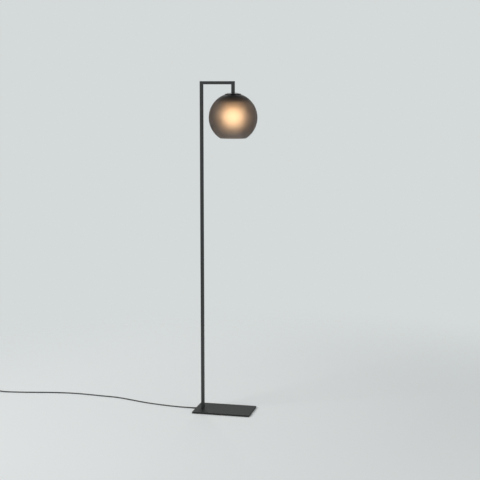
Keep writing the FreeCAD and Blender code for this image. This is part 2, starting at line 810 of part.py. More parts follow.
def make_strain_relief():
    """Moulded sleeve on the cord: a block in the base's groove and a tapered sleeve outside it."""
    block = doc.addObject("Part::Box", "relief_block_solid")
    low = "relief_height - relief_tip + 0.1"
    bind(block, Length="relief_block", Width="groove_width - 2 * relief_gap",
         Height=f"recess_top - relief_gap - ({low})", x="base_left",
         y="-groove_width / 2 + relief_gap", z=low)
    sleeve = doc.addObject("Part::Cone", "relief_sleeve")
    sleeve.Placement = Placement(Vector(), TO_LEFT)
    bind(sleeve, Radius1="relief_root", Radius2="relief_tip", Height="relief_length",
         x="base_left", z="relief_height")
    fuse = doc.addObject("Part::Fuse", "strain_relief")
    fuse.Base, fuse.Tool = block, sleeve
    return fuse


# The cord's points from the strain relief to the foot switch, as offsets from the sleeve's end (the third
# number is the axis's height above the floor, less what it has at rest).
ROUTE = [
    (0, 0, 0.7), (-22, 0, 0.7), (-58, 3, 0), (-112, 9, 0), (-170, 20, 0), (-228, 33, 0), (-288, 54, 0),
    (-348, 77, 0), (-408, 94, 0), (-470, 98, 0), (-534, 106, 0), (-598, 112, 0), (-662, 110, 0), (-726, 102, 0),
    (-790, 90, 0), (-852, 77, 0), (-910, 68, 0), (-957, 62, 0.2), (-996, 60, 3.1), (-1030, 60, 3.1),
]
ENTRY_DEPTH = 12  # how far the cord runs into the switch
# From the switch's far end to the coil, along the cord's way, with whether the cord is still as high as its entry.
LINK = [(-ENTRY_DEPTH, True), (16, True), (42, False), (66, False)]
# From the coil to the plug, along the cord's way, with whether the cord is still as high as the coil.
TAIL = [(0, True), (14, True), (40, False), (56, False)]


def route_points():
    start = Vector(number("base_left - relief_length"), 0, number("cord_rest"))
    lift = {0: number("relief_height - cord_rest"), -1: number("switch_entry - cord_rest")}
    points = [start + Vector(*offset) for offset in ROUTE]
    for k in (0, 1):
        points[k].z = start.z + lift[0]
    for k in (-2, -1):
        points[k].z = start.z + lift[-1]
    return points


def make_cord_run():
    return add_cord("cord_run", route_points())


def switch_centre():
    """The middle of the switch on the floor."""
    inlet = route_points()[-1]
    return Vector(inlet.x + ENTRY_DEPTH - number("switch_length") / 2, inlet.y, 0)


def link_points():
    """From the switch to the coil."""
    out = switch_centre() - Vector(number("switch_length") / 2, 0, 0)
    up, rest = number("switch_entry"), number("coil_rest")
    return [out + Vector(-along, 0, up if high else rest) for along, high in LINK]


def coil_centre():
    """The coil's axis on the floor; the link meets its outer turn at the far side."""
    end = link_points()[-1]
    return Vector(end.x, end.y - number("coil_radius"), 0)


def coil_angle():
    """How far the coil turns: out of it, the cord heads for the viewer."""
    return 2 * math.pi * (2 * number("coil_turns") + 0.25)


def coil_point(turned_by):
    """A point of the coil's line after an angle: in through the lower layer, a climb in half a turn, and out
    through the upper layer."""
    pitch, turns = number("coil_pitch"), number("coil_turns")
    outer, rest, rise = number("coil_radius"), number("coil_rest"), number("coil_rise")
    lower = 2 * math.pi * turns
    upper = lower + math.pi
    inner = outer - pitch * turns
    if turned_by <= lower:
        radius, up = outer - pitch * turned_by / (2 * math.pi), 0.0
    elif turned_by >= upper:
        radius, up = inner + pitch * (turned_by - upper) / (2 * math.pi), 1.0
    else:
        half = turned_by - lower - math.pi / 2
        radius = inner + pitch / (2 * math.pi ** 2) * (half ** 2 - math.pi ** 2 / 4)
        share = half / math.pi + 0.5
        up = share ** 2 * (3 - 2 * share)
    angle = math.pi / 2 + turned_by
    flat = Vector(radius * math.cos(angle), radius * math.sin(angle), rest + rise * up)
    return coil_centre() + flat


def biarc(start, start_way, end, end_way):
    """Two tangent arcs from one point and direction to another."""
    chord = end - start
    both = start_way + end_way
    a = both.dot(both) - 4
    b = -2 * chord.dot(both)
    c = chord.dot(chord)
    root = math.sqrt(b * b - 4 * a * c)
    reach = (-b - root) / (2 * a)
    if reach <= 0:
        reach = (-b + root) / (2 * a)
    first, second = start + start_way * reach, end - end_way * reach
    middle = (first + second) * 0.5
    edges = []
    for p, corner, q in ((start, first, middle), (middle, second, end)):
        before, after = (corner - p).normalize(), (q - corner).normalize()
        turn = before.getAngle(after)
        radius = (corner - p).Length / math.tan(turn / 2)
        bisector = (after - before).normalize()
        edges.append(Part.Arc(p, corner + bisector * (radius / math.cos(turn / 2) - radius), q).toShape())
    return edges


def make_cord_coil():
    """The cord's spare length wound up: one unbroken tube of quarter-turn biarcs."""
    quarters = round(coil_angle() / (math.pi / 2))
    small = 1e-4
    spots = [coil_point(k * math.pi / 2) for k in range(quarters + 1)]
    ways = []
    for k in range(quarters + 1):
        turned_by = k * math.pi / 2
        low, high = max(0, turned_by - small), min(quarters * math.pi / 2, turned_by + small)
        ways.append((coil_point(high) - coil_point(low)).normalize())
    ways[0] = Vector(-1, 0, 0)
    ways[-1] = Vector(0, -1, 0)
    edges = []
    for k in range(quarters):
        edges += biarc(spots[k], ways[k], spots[k + 1], ways[k + 1])
    shape = tube_along(edges, number("cord_radius"))
    length = sum(edge.Length for edge in edges)
    print(f"cord_coil: {length:.0f} mm, least gap to itself {least_gap(edges):.2f} mm,",
          f"volume {shape.Volume / (math.pi * number('cord_radius') ** 2 * length):.4f} of section times length")
    return add_shape("cord_coil", shape), length


def least_gap(edges):
    """The least gap between turns, measured on points 3 mm apart along the line."""
    step = 3.0
    points = []
    for edge in edges:
        count = max(1, round(edge.Length / step))
        points += [edge.valueAt(edge.FirstParameter + (edge.LastParameter - edge.FirstParameter) * k / count)
                   for k in range(count)]
    apart = round(math.pi * number("coil_radius") / 2 / step)
    gaps = [(p - q).Length for k, p in enumerate(points) for q in points[k + apart:]]
    return min(gaps) - 2 * number("cord_radius")


def make_coil_strap():
    """Strap round the coil's turns on its near side, where two turns lie in each layer."""
    centre = coil_centre()
    angle_share = 0.75  # of a turn from the coil's start to the strap
    pitch = number("coil_pitch")
    outermost = number("coil_radius") - pitch * angle_share + pitch / 4
    middle = outermost - pitch / 2
    thick, slack = number("strap_thickness"), number("strap_gap")
    radius = number("cord_radius")
    wide = pitch + 2 * (radius + slack) + pitch / 2
    tall = number("coil_rise") + 2 * (radius + slack)
    low = number("coil_rest") - radius - slack
    solids = []
    for grow in (thick, 0):
        size = (wide + 2 * grow, number("strap_width"), tall + 2 * grow)
        corner = centre + Vector(middle - size[0] / 2, -size[1] / 2, low - grow)
        block = Part.makeBox(*size, corner)
        along = [edge for edge in block.Edges if abs(edge.tangentAt(0).y) > 0.9]
        solids.append(block.makeFillet(radius + grow, along))
    return add_shape("coil_strap", solids[0].cut(solids[1]))


def tail_points():
    """From the coil's last turn to the plug, which lies on the floor beside the coil."""
    end = coil_point(coil_angle())
    lie = number("plug_thickness / 2 + plug_rest")
    return [Vector(end.x, end.y - along, end.z if high else lie) for along, high in TAIL]


def make_plug():
    """Flat two-pin plug with a moulded tail, pins towards the viewer."""
    inlet = tail_points()[-1]
    deep, thick = number("plug_body"), number("plug_thickness")
    body = doc.addObject("PartDesign::Body", "plug_shell")
    way = Rotation(Vector(0, 0, 1), -90)  # +X turned to -Y
    body.Placement = Placement(Vector(inlet.x, inlet.y - number("plug_relief"), inlet.z), way)
    outline = new_sketch(body, "plug_outline", "XY_Plane")
    loop(outline, [("0", "-plug_tail_width / 2"), ("plug_shoulder", "-plug_width / 2"),
                   ("plug_body", "-plug_width / 2"), ("plug_body", "plug_width / 2"),
                   ("plug_shoulder", "plug_width / 2"), ("0", "plug_tail_width / 2")])
    pad(body, outline, "plug_pad", "plug_thickness", "-plug_thickness / 2")
    dress(body, "Fillet", "plug_corners", "plug_corner", is_upright)
    dress(body, "Fillet", "plug_rims", "plug_edge",
          lambda edge: (lies_at(edge, thick / 2) or lies_at(edge, -thick / 2)) and edge.CenterOfMass.x < deep - 0.1)
    tail = round_at(inlet, "plug_tail", "plug_relief", "relief_tip", "plug_thickness / 2 - plug_edge", TO_FRONT)
    fuse = doc.addObject("Part::Fuse", "plug_body")
    fuse.Base, fuse.Tool = body, tail
    return fuse


def make_plug_pins():
    """Two round pins with domed tips."""
    inlet = tail_points()[-1]
    face = inlet.y - number("plug_relief + plug_body")
    pins = []
    for k, side in enumerate((-1, 1), start=1):
        body = doc.addObject("PartDesign::Body", f"plug_pin_{k}")
        body.Placement = Placement(Vector(inlet.x + side * number("pin_spacing / 2"), face, inlet.z), TO_FRONT)
        sketch = new_sketch(body, f"plug_pin_{k}_profile", "XZ_Plane")
        dome = "(pin_radius / 2)"
        loop(sketch, [("0", "0"), ("pin_radius", "0"), ("pin_radius", f"pin_length - {dome}"),
                      (f"pin_radius - {dome}", "pin_length"), ("0", "pin_length")],
             {2: (f"~pin_radius - {dome}", f"~pin_length - {dome}", dome, True)})
        turn = body.newObject("PartDesign::Revolution", f"plug_pin_{k}_turn")
        turn.Profile = sketch
        turn.ReferenceAxis = (sketch, ["V_Axis"])
        turn.Angle = 360
        pins.append(body)
    return group("plug_pins", *pins)


# Foot switch


def switch_body(name):
    body = doc.addObject("PartDesign::Body", name)
    body.Placement = Placement(switch_centre(), Rotation())
    return body


def cord_hole(name):
    """The way in for the cord, through both ends of the switch."""
    start = switch_centre() + Vector(-number("switch_length") / 2 - 1, 0, number("switch_entry"))
    return round_at(start, name, "switch_length + 2", "cord_radius + relief_gap", rotation=TO_RIGHT)


def screw_spots():
    centre, x, y = switch_centre(), number("screw_x"), number("screw_y")
    return [centre + Vector(x, y, 0), centre + Vector(-x, -y, 0)]


def make_switch_tray():
    body = switch_body("switch_tray_shell")
    outline = new_sketch(body, "switch_tray_outline", "XY_Plane")
    rounded(outline, "switch_length", "switch_width", "switch_corner")
    pad(body, outline, "switch_tray_pad", "switch_entry")
    inside = new_sketch(body, "switch_tray_inside", "XY_Plane")
    rounded(inside, "switch_length - 2 * switch_wall", "switch_width - 2 * switch_wall", "switch_corner - switch_wall")
    pocket(body, inside, "switch_tray_hollow", "switch_entry", "switch_wall")
    holes = []
    for k, spot in enumerate(screw_spots(), start=1):
        hole_radius, sink_radius = "screw_radius + thread_gap", "2 * screw_radius + thread_gap"
        holes.append(round_at(spot, f"tray_screw_hole_{k}", "switch_wall", hole_radius))
        holes.append(round_at(spot, f"tray_screw_sink_{k}", "screw_radius", sink_radius, hole_radius))
    return cut("switch_tray", body, cord_hole("tray_cord_hole"), *holes)


def make_switch_cover():
    """Domed cover with the button's hole and two screw posts."""
    body = switch_body("switch_cover_shell")
    outline = new_sketch(body, "switch_cover_outline", "XY_Plane")
    rounded(outline, "switch_length", "switch_width", "switch_corner")
    pad(body, outline, "switch_cover_pad", "switch_height - switch_entry", "switch_entry")
    top = number("switch_height")
    dress(body, "Fillet", "switch_cover_rim", "switch_edge", lambda edge: lies_at(edge, top))
    inside = new_sketch(body, "switch_cover_inside", "XY_Plane")
    thick = "(switch_wall + switch_lip)"
    rounded(inside, f"switch_length - 2 * {thick}", f"switch_width - 2 * {thick}", f"switch_corner - {thick}")
    pocket(body, inside, "switch_cover_hollow", "switch_height - switch_entry - switch_wall", "switch_entry")
    hole = new_sketch(body, "button_hole_outline", "XY_Plane")
    ring(hole, "0", "0", "button_radius + button_gap")
    pocket(body, hole, "button_hole", "switch_height", "switch_entry")
    posts = []
    for k, spot in enumerate(screw_spots(), start=1):
        foot = spot + Vector(0, 0, number("switch_wall + thread_gap"))
        height = "switch_height - 2 * switch_wall - thread_gap + 0.5"
        posts.append(round_at(foot, f"screw_post_{k}", height, "2 * screw_radius"))
    fuse = doc.addObject("Part::MultiFuse", "switch_cover_with_posts")
    fuse.Shapes = [body, *posts]
    bores = []
    for k, spot in enumerate(screw_spots(), start=1):
        bores.append(round_at(spot, f"screw_bore_{k}", "screw_length + 1", "screw_radius + thread_gap"))
    return cut("switch_cover", fuse, cord_hole("cover_cord_hole"), *bores)


def make_switch_button():
    """Round button with a flange under the cover and a stem into the mechanism."""
    centre = switch_centre()
    under = number("switch_height - switch_wall - button_play")
    body = doc.addObject("PartDesign::Body", "switch_button")
    body.Placement = Placement(Vector(centre.x, centre.y, under), Rotation())
    sketch = new_sketch(body, "switch_button_profile", "XZ_Plane")
    rise = "switch_wall + button_play + button_rise"
    stem_foot = "-(switch_height - switch_wall - button_play) + switch_wall + mechanism_height - stem_hold"
    flange, under_flange, edge = "button_radius + 3 * button_gap", "-button_flange", "button_edge"
    loop(sketch, [
        ("0", stem_foot), ("stem_radius", stem_foot), ("stem_radius", under_flange), (flange, under_flange),
        (flange, "0"), ("button_radius", "0"), ("button_radius", f"{rise} - {edge}"),
        (f"button_radius - {edge}", rise), ("0", rise),
    ], {6: (f"~button_radius - {edge}", f"~{rise} - {edge}", edge, True)})
    turn = body.newObject("PartDesign::Revolution", "switch_button_turn")
    turn.Profile = sketch
    turn.ReferenceAxis = (sketch, ["V_Axis"])
    turn.Angle = 360
    return body


def make_switch_mechanism():
    """Sealed contact block with terminals at both ends and a well for the button's stem."""
    body = switch_body("switch_mechanism")
    outline = new_sketch(body, "switch_mechanism_outline", "XY_Plane")
    x, y = "mechanism_length / 2", "mechanism_width / 2"
    loop(outline, box_corners(f"-{x}", f"-{y}", x, y))
    pad(body, outline, "switch_mechanism_pad", "mechanism_height", "switch_wall")
    well = new_sketch(body, "stem_well_outline", "XY_Plane")
    ring(well, "0", "0", "stem_radius + button_gap")
    pocket(body, well, "stem_well", "mechanism_height",
           "switch_wall + mechanism_height - stem_hold - button_travel - stem_drop")
    return body


def make_switch_screws():
    screws = []
    for k, spot in enumerate(screw_spots(), start=1):
        shank = round_at(spot, f"screw_shank_{k}", "screw_length", "screw_radius")
        head = round_at(spot, f"screw_head_{k}", "screw_radius", "2 * screw_radius", "screw_radius")
        screw = doc.addObject("Part::Fuse", f"switch_screw_{k}")
        screw.Base, screw.Tool = head, shank
        screws.append(screw)
    return group("switch_screws", *screws)


# Assembly

nodes = [
    make_base_plate(),
    make_base_feet(),
    make_base_washer(),
    make_nut("base_nut", "base_nut_height", "post_x", "base_nut_foot"),
    make_nipple("base_nipple", "base_nipple_foot", "plate_top + plug_hold", "post_x"),
    make_threaded_plug("post_foot_plug", "post_x", "plate_top"),
    make_post_lower(),
    make_post_sleeve(),
    make_grub_screws(),
    make_post_upper(),
    make_arm(),
    make_drop_tube(),
    make_threaded_plug("drop_tube_plug", "head_x", "cap_top"),
    make_nipple("head_nipple", "holder_top - holder_wall", "cap_top + plug_hold", "head_x"),
    make_shade_cap(),
    make_upper_seal(),
    make_shade(),
    make_lower_seal(),
    make_shade_carrier(),
    make_nut("carrier_nut", "carrier_nut_height", "head_x", "globe_z + carrier_foot - carrier_nut_height"),
    make_holder_cap(),
    make_holder_skirt(),
    make_holder_core(),
    make_holder_shell(),
    make_holder_contact(),
    make_holder_terminals(),
    make_bulb_contact(),
    make_bulb_insulator(),
    make_bulb_cap(),
    make_bulb_housing(),
    make_bulb_globe(),
    make_wires(),
    make_strain_relief(),
    make_switch_tray(),
    make_switch_cover(),
    make_switch_button(),
    make_switch_mechanism(),
    make_switch_screws(),
    make_coil_strap(),
    make_plug(),
    make_plug_pins(),
]
lengths = [number("relief_length + relief_block"), number("switch_length") - 2 * ENTRY_DEPTH, number("plug_relief")]
for piece, length in (make_cord_run(), add_cord("cord_link", link_points()), make_cord_coil(),
                      add_cord("cord_tail", tail_points())):
    nodes.append(piece)
    lengths.append(length)
print(f"cord from the base to the plug: {sum(lengths):.0f} mm")

doc.recompute()

failed = [thing.Name for thing in doc.Objects if {"Invalid", "Error"} & set(thing.State)]
failed += [node.Name for node in nodes if node.Shape.isNull() or not node.Shape.isValid() or not node.Shape.Solids]
if failed:
    raise RuntimeError(f"failed: {failed}")

os.makedirs("parts", exist_ok=True)
for node in nodes:
    node.Label = node.Name
    node.Shape.exportStep(f"parts/{node.Label}.step")
print(f"{len(nodes)} nodes")
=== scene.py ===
"""Looks of a globe floor lamp: its finishes, glass, bulb, lampholder, cord, foot switch and plug.

Everything is in metres in the frame's own axes: +X along the arm, +Y away from the viewer, +Z up.
"""

import logging
import math
from dataclasses import dataclass, field
from enum import Enum

import bmesh
import bpy
from mathutils import Matrix, Vector


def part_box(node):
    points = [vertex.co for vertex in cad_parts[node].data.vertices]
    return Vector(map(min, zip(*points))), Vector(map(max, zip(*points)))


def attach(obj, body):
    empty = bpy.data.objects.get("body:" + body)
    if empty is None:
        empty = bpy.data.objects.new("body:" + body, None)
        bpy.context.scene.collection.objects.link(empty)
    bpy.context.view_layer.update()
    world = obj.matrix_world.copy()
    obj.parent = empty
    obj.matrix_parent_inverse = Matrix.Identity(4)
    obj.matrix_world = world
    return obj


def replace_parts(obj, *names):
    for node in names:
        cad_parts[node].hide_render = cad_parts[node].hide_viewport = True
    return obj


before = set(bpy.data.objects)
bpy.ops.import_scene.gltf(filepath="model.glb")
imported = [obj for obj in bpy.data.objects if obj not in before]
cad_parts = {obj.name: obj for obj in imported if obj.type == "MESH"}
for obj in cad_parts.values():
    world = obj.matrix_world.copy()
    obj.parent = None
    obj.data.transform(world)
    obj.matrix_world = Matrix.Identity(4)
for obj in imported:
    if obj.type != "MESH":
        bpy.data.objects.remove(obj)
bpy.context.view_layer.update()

log = logging.getLogger("globe_lamp")

MM = 0.001
TURN = 2 * math.pi
UP = Vector((0, 0, 1))
MERGE = 1e-6  # vertices closer than this become one
LEVEL = 1e-5  # vertices this close to a height lie on it


class Part(Enum):
    """The bodies that pieces ride on."""

    STAND = "stand"
    BULB = "bulb"
    BUTTON = "button"


# Shaders


class Value:
    """A shader socket that takes part in Python arithmetic."""

    def __init__(self, graph: "Graph", socket: bpy.types.NodeSocket) -> None:
        """Wrap an output socket of a graph."""
        self.graph = graph
        self.socket = socket

    def _with(self, operation: str, other: "Value | float") -> "Value":
        """One Math node on this value and another.

        Args:
            operation: the Math node's operation.
            other: its second value.

        Returns:
            The node's result.
        """
        return self.graph.node("ShaderNodeMath", {"operation": operation}, {0: self, 1: other})

    def __add__(self, other: "Value | float") -> "Value":
        """self + other."""
        return self._with("ADD", other)

    def __mul__(self, other: "Value | float") -> "Value":
        """self * other."""
        return self._with("MULTIPLY", other)


class Graph:
    """The nodes of one material, with its output."""

    def __init__(self, name: str) -> None:
        """Start an empty node material.

        Args:
            name: the material's name.
        """
        self.material = bpy.data.materials.new(name)
        self.material.use_nodes = True
        self.tree = self.material.node_tree
        self.tree.nodes.clear()
        self.output = self.tree.nodes.new("ShaderNodeOutputMaterial")

    def node(self, kind: str, settings: dict | None = None, sockets: dict | None = None,
             out: int = 0) -> Value:
        """Add a node.

        Args:
            kind: the node's type.
            settings: its own settings, set before its inputs.
            sockets: values or links of its inputs, by name or number.
            out: which output to return.

        Returns:
            That output.
        """
        made = self.tree.nodes.new(kind)
        for key, value in (settings or {}).items():
            setattr(made, key, value)
        for key, value in (sockets or {}).items():
            if isinstance(value, Value):
                self.tree.links.new(value.socket, made.inputs[key])
            else:
                made.inputs[key].default_value = value
        return Value(self, made.outputs[out])

    def place(self) -> Value:
        """Object coordinates."""
        return self.node("ShaderNodeTexCoord", out=3)

    def along(self, axis: int) -> Value:
        """One object coordinate: 0 for X, 1 for Y, 2 for Z."""
        return self.node("ShaderNodeSeparateXYZ", sockets={0: self.place()}, out=axis)

    def noise(self, scale: float, detail: float = 2.0) -> Value:
        """Fractal noise from 0 to 1, with scale features to the metre."""
        sockets = {"Vector": self.place(), "Scale": scale, "Detail": detail}
        return self.node("ShaderNodeTexNoise", sockets=sockets)

    def between(self, share: Value, low: float, high: float) -> Value:
        """A number that runs from low to high as share runs from 0 to 1."""
        return share * (high - low) + low

    def blend(self, share: Value, first: "Value | tuple", second: "Value | tuple") -> Value:
        """A colour that runs from first to second as share runs from 0 to 1."""
        ends = [end if isinstance(end, Value) else (*end, 1.0) for end in (first, second)]
        return self.node("ShaderNodeMix", {"data_type": "RGBA"}, {0: share, 6: ends[0], 7: ends[1]}, out=2)

    def rise(self, value: Value, low: float, high: float) -> Value:
        """A smooth step from 0 at low to 1 at high."""
        sockets = {"Value": value, "From Min": low, "From Max": high, "To Min": 0.0, "To Max": 1.0}
        return self.node("ShaderNodeMapRange", {"interpolation_type": "SMOOTHSTEP"}, sockets)

    def bump(self, height: Value, strength: float, depth: float) -> Value:
        """A normal from a height of up to depth metres."""
        sockets = {"Height": height, "Strength": strength, "Distance": depth}
        return self.node("ShaderNodeBump", sockets=sockets)

    def surface(self, **sockets: "Value | float | tuple") -> bpy.types.Material:
        """Finish with a Principled BSDF; underscores in the names stand for spaces."""
        named = {key.replace("_", " "): value for key, value in sockets.items()}
        return self.finish(self.node("ShaderNodeBsdfPrincipled", sockets=named))

    def finish(self, shader: Value) -> bpy.types.Material:
        """Link a shader to the output."""
        self.tree.links.new(shader.socket, self.output.inputs["Surface"])
        return self.material


@dataclass(frozen=True)
class PowderCoat:
    """Powder coat with its fine orange peel, satin unless told otherwise."""

    name: str = "powder_black"
    dark: tuple = (0.024, 0.0255, 0.026)
    light: tuple = (0.037, 0.039, 0.040)
    roughness: tuple = (0.36, 0.47)
    gloss: float = 0.5
    cloud_scale: float = 14.0
    peel_scale: float = 900.0
    peel_depth: float = 0.00012

    def material(self) -> bpy.types.Material:
        """Build the material.

        Returns:
            The material.
        """
        graph = Graph(self.name)
        cloud = graph.noise(self.cloud_scale, 3.0)
        peel = graph.noise(self.peel_scale, 3.0)
        return graph.surface(
            Base_Color=graph.blend(cloud * 0.6 + peel * 0.4, self.dark, self.light),
            Roughness=graph.between(cloud * 0.5 + peel * 0.5, *self.roughness),
            Specular_IOR_Level=self.gloss,
            Normal=graph.bump(peel, 0.5, self.peel_depth),
        )


@dataclass(frozen=True)
class PlatedMetal:
    """Plated metal with soft clouding and fine marks."""

    name: str
    dark: tuple
    light: tuple
    roughness: tuple = (0.24, 0.42)
    cloud_scale: float = 60.0
    mark_scale: float = 2600.0
    mark_depth: float = 0.00003

    def material(self) -> bpy.types.Material:
        """Build the material.

        Returns:
            The material.
        """
        graph = Graph(self.name)
        cloud = graph.noise(self.cloud_scale, 4.0)
        marks = graph.noise(self.mark_scale, 2.0)
        return graph.surface(
            Base_Color=graph.blend(cloud, self.dark, self.light),
            Metallic=1.0,
            Roughness=graph.between(cloud * 0.7 + marks * 0.3, *self.roughness),
            Normal=graph.bump(marks, 0.3, self.mark_depth),
        )


@dataclass(frozen=True)
class Moulded:
    """Moulded plastic, rubber or porcelain with a fine grain, under a clear coat where it has one."""

    name: str
    dark: tuple
    light: tuple
    roughness: tuple
    grain_scale: float = 1800.0
    grain_depth: float = 0.00004
    coat: float = 0.0
    coat_roughness: float = 0.12
    cloud_scale: float = 35.0

    def material(self) -> bpy.types.Material:
        """Build the material.

        Returns:
            The material.
        """
        graph = Graph(self.name)
        cloud = graph.noise(self.cloud_scale, 3.0)
        grain = graph.noise(self.grain_scale, 2.0)
        return graph.surface(
            Base_Color=graph.blend(cloud, self.dark, self.light),
            Roughness=graph.between(cloud * 0.5 + grain * 0.5, *self.roughness),
            Coat_Weight=self.coat,
            Coat_Roughness=self.coat_roughness,
            Normal=graph.bump(grain, 0.6, self.grain_depth),
        )


@dataclass(frozen=True)
class SmokedGlass:
    """Blown glass, smoked in the mass and softly frosted, with painted shade darkening it towards its hole,
    and faint waves.

    The tint is multiplied by deepest in its darkest clouds and, as painted shade under the cap, by crown at
    the top, from the first of painted_shade_heights up, and in full from the second.
    """

    name: str = "smoked_glass"
    tint: tuple = (0.33, 0.295, 0.28)
    deepest: float = 0.86
    # painted shade: how far the glass's colour is darkened at the top, under the cap
    crown: float = 0.12
    painted_shade_heights: tuple = (1.404, 1.434)
    roughness: tuple = (0.58, 0.64)
    gloss: float = 0.15
    ior: float = 1.46
    wave_scale: float = 16.0
    frost_scale: float = 420.0
    wave_depth: float = 0.0008

    def material(self) -> bpy.types.Material:
        """Build the material.

        Returns:
            The material.
        """
        graph = Graph(self.name)
        waves = graph.noise(self.wave_scale, 1.0)
        frost = graph.noise(self.frost_scale, 3.0)
        # painted shade: the glass's colour darkens towards the top, where the cap shades it
        crown = graph.rise(graph.along(2), *self.painted_shade_heights)
        body = graph.blend(waves, tuple(self.deepest * part for part in self.tint), self.tint)
        return graph.surface(
            Base_Color=graph.blend(crown, body, tuple(self.crown * part for part in self.tint)),
            Roughness=graph.between(frost, *self.roughness),
            IOR=self.ior,
            Specular_IOR_Level=self.gloss,
            Specular_Tint=(self.gloss, self.gloss, self.gloss, 1.0),
            Transmission_Weight=1.0,
            Normal=graph.bump(waves * 0.8 + frost * 0.2, 0.25, self.wave_depth),
        )


@dataclass(frozen=True)
class LitOpal:
    """Opal glass lit from inside, warmer above a height, towards its neck."""

    name: str = "bulb_opal"
    dark: tuple = (0.86, 0.85, 0.82)
    light: tuple = (0.93, 0.92, 0.90)
    roughness: tuple = (0.18, 0.26)
    bright: tuple = (1.0, 0.69, 0.385)
    warm: tuple = (1.0, 0.62, 0.30)
    strength: float = 6.2
    neck_height: float = 1.384
    fade: float = 0.02
    cloud_scale: float = 90.0

    def material(self) -> bpy.types.Material:
        """Build the material.

        Returns:
            The material.
        """
        graph = Graph(self.name)
        neck = graph.rise(graph.along(2), self.neck_height - self.fade, self.neck_height)
        cloud = graph.noise(self.cloud_scale, 2.0)
        return graph.surface(
            Base_Color=graph.blend(cloud, self.dark, self.light),
            Roughness=graph.between(cloud, *self.roughness),
            Emission_Color=graph.blend(neck, self.bright, self.warm),
            Emission_Strength=self.strength,
        )


@dataclass(frozen=True)
class WovenTape:
    """Tape woven from fine yarn, with rows across its width."""

    name: str = "strap"
    dark: tuple = (0.010, 0.010, 0.011)
    light: tuple = (0.045, 0.045, 0.048)
    roughness: tuple = (0.75, 0.95)
    yarn: float = 0.0007
    yarn_depth: float = 0.0002
    fluff_scale: float = 2400.0
    sheen: float = 0.3

    def material(self) -> bpy.types.Material:
        """Build the material.

        Returns:
            The material.
        """
        graph = Graph(self.name)
        rows = graph.node("ShaderNodeMath", {"operation": "SINE"}, {0: graph.along(1) * (TURN / self.yarn)})
        fluff = graph.noise(self.fluff_scale, 3.0)
        weave = graph.between(rows, 0.25, 0.5) + fluff * 0.5
        return graph.surface(
            Base_Color=graph.blend(weave, self.dark, self.light),
            Roughness=graph.between(fluff, *self.roughness),
            Sheen_Weight=self.sheen,
            Normal=graph.bump(weave, 0.8, self.yarn_depth),
        )


@dataclass(frozen=True)
class Finishes:
    """Every material of the lamp, made once."""

    powder: bpy.types.Material
    plate: bpy.types.Material
    zinc: bpy.types.Material
    brass: bpy.types.Material
    nickel: bpy.types.Material
    aluminium: bpy.types.Material
    glass: bpy.types.Material
    opal: bpy.types.Material
    phenolic: bpy.types.Material
    porcelain: bpy.types.Material
    insulator: bpy.types.Material
    white: bpy.types.Material
    rubber: bpy.types.Material
    seal: bpy.types.Material
    sheath: bpy.types.Material
    switch: bpy.types.Material
    wire: bpy.types.Material
    strap: bpy.types.Material

    @classmethod
    def mix(cls) -> "Finishes":
        """Make them all.

        Returns:
            The set of materials.
        """
        black, soot = (0.011, 0.011, 0.012), (0.021, 0.021, 0.022)
        return cls(
            powder=PowderCoat().material(),
            plate=PowderCoat("powder_matt", (0.010, 0.0105, 0.0105), (0.017, 0.0175, 0.0175),
                             roughness=(0.5, 0.6), gloss=0.3).material(),
            zinc=PlatedMetal("zinc", (0.46, 0.47, 0.49), (0.62, 0.63, 0.66)).material(),
            brass=PlatedMetal("brass", (0.58, 0.40, 0.15), (0.74, 0.55, 0.25)).material(),
            nickel=PlatedMetal("pin_metal", (0.60, 0.57, 0.52), (0.72, 0.70, 0.65),
                               roughness=(0.14, 0.26)).material(),
            aluminium=PlatedMetal("bulb_metal", (0.66, 0.66, 0.66), (0.80, 0.80, 0.80),
                                  roughness=(0.2, 0.34)).material(),
            glass=SmokedGlass().material(),
            opal=LitOpal().material(),
            phenolic=Moulded("holder_black", black, soot, roughness=(0.30, 0.42), grain_scale=900.0,
                             grain_depth=0.00002, coat=0.15).material(),
            porcelain=Moulded("porcelain", (0.74, 0.72, 0.67), (0.82, 0.80, 0.76), roughness=(0.12, 0.2),
                              grain_scale=300.0).material(),
            insulator=Moulded("insulator", black, soot, roughness=(0.2, 0.3), grain_scale=700.0).material(),
            white=Moulded("bulb_white", (0.78, 0.77, 0.75), (0.84, 0.83, 0.81),
                          roughness=(0.28, 0.4)).material(),
            rubber=Moulded("rubber_black", (0.012, 0.012, 0.012), (0.024, 0.024, 0.024),
                           roughness=(0.7, 0.9)).material(),
            seal=Moulded("seal", (0.02, 0.02, 0.02), (0.03, 0.03, 0.03), roughness=(0.6, 0.8)).material(),
            sheath=Moulded("cord_black", black, soot, roughness=(0.24, 0.36), grain_scale=1500.0,
                           grain_depth=0.00002).material(),
            switch=Moulded("switch_black", black, (0.024, 0.024, 0.025), roughness=(0.42, 0.56),
                           grain_scale=2600.0, grain_depth=0.00006).material(),
            wire=Moulded("wire", (0.13, 0.05, 0.02), (0.17, 0.07, 0.03), roughness=(0.35, 0.5)).material(),
            strap=WovenTape().material(),
        )


# Shaping


def wave(angle: float) -> float:
    """A round wave from 1 at an angle of 0 to 0 at half a turn and back."""
    return 0.5 + 0.5 * math.cos(angle)


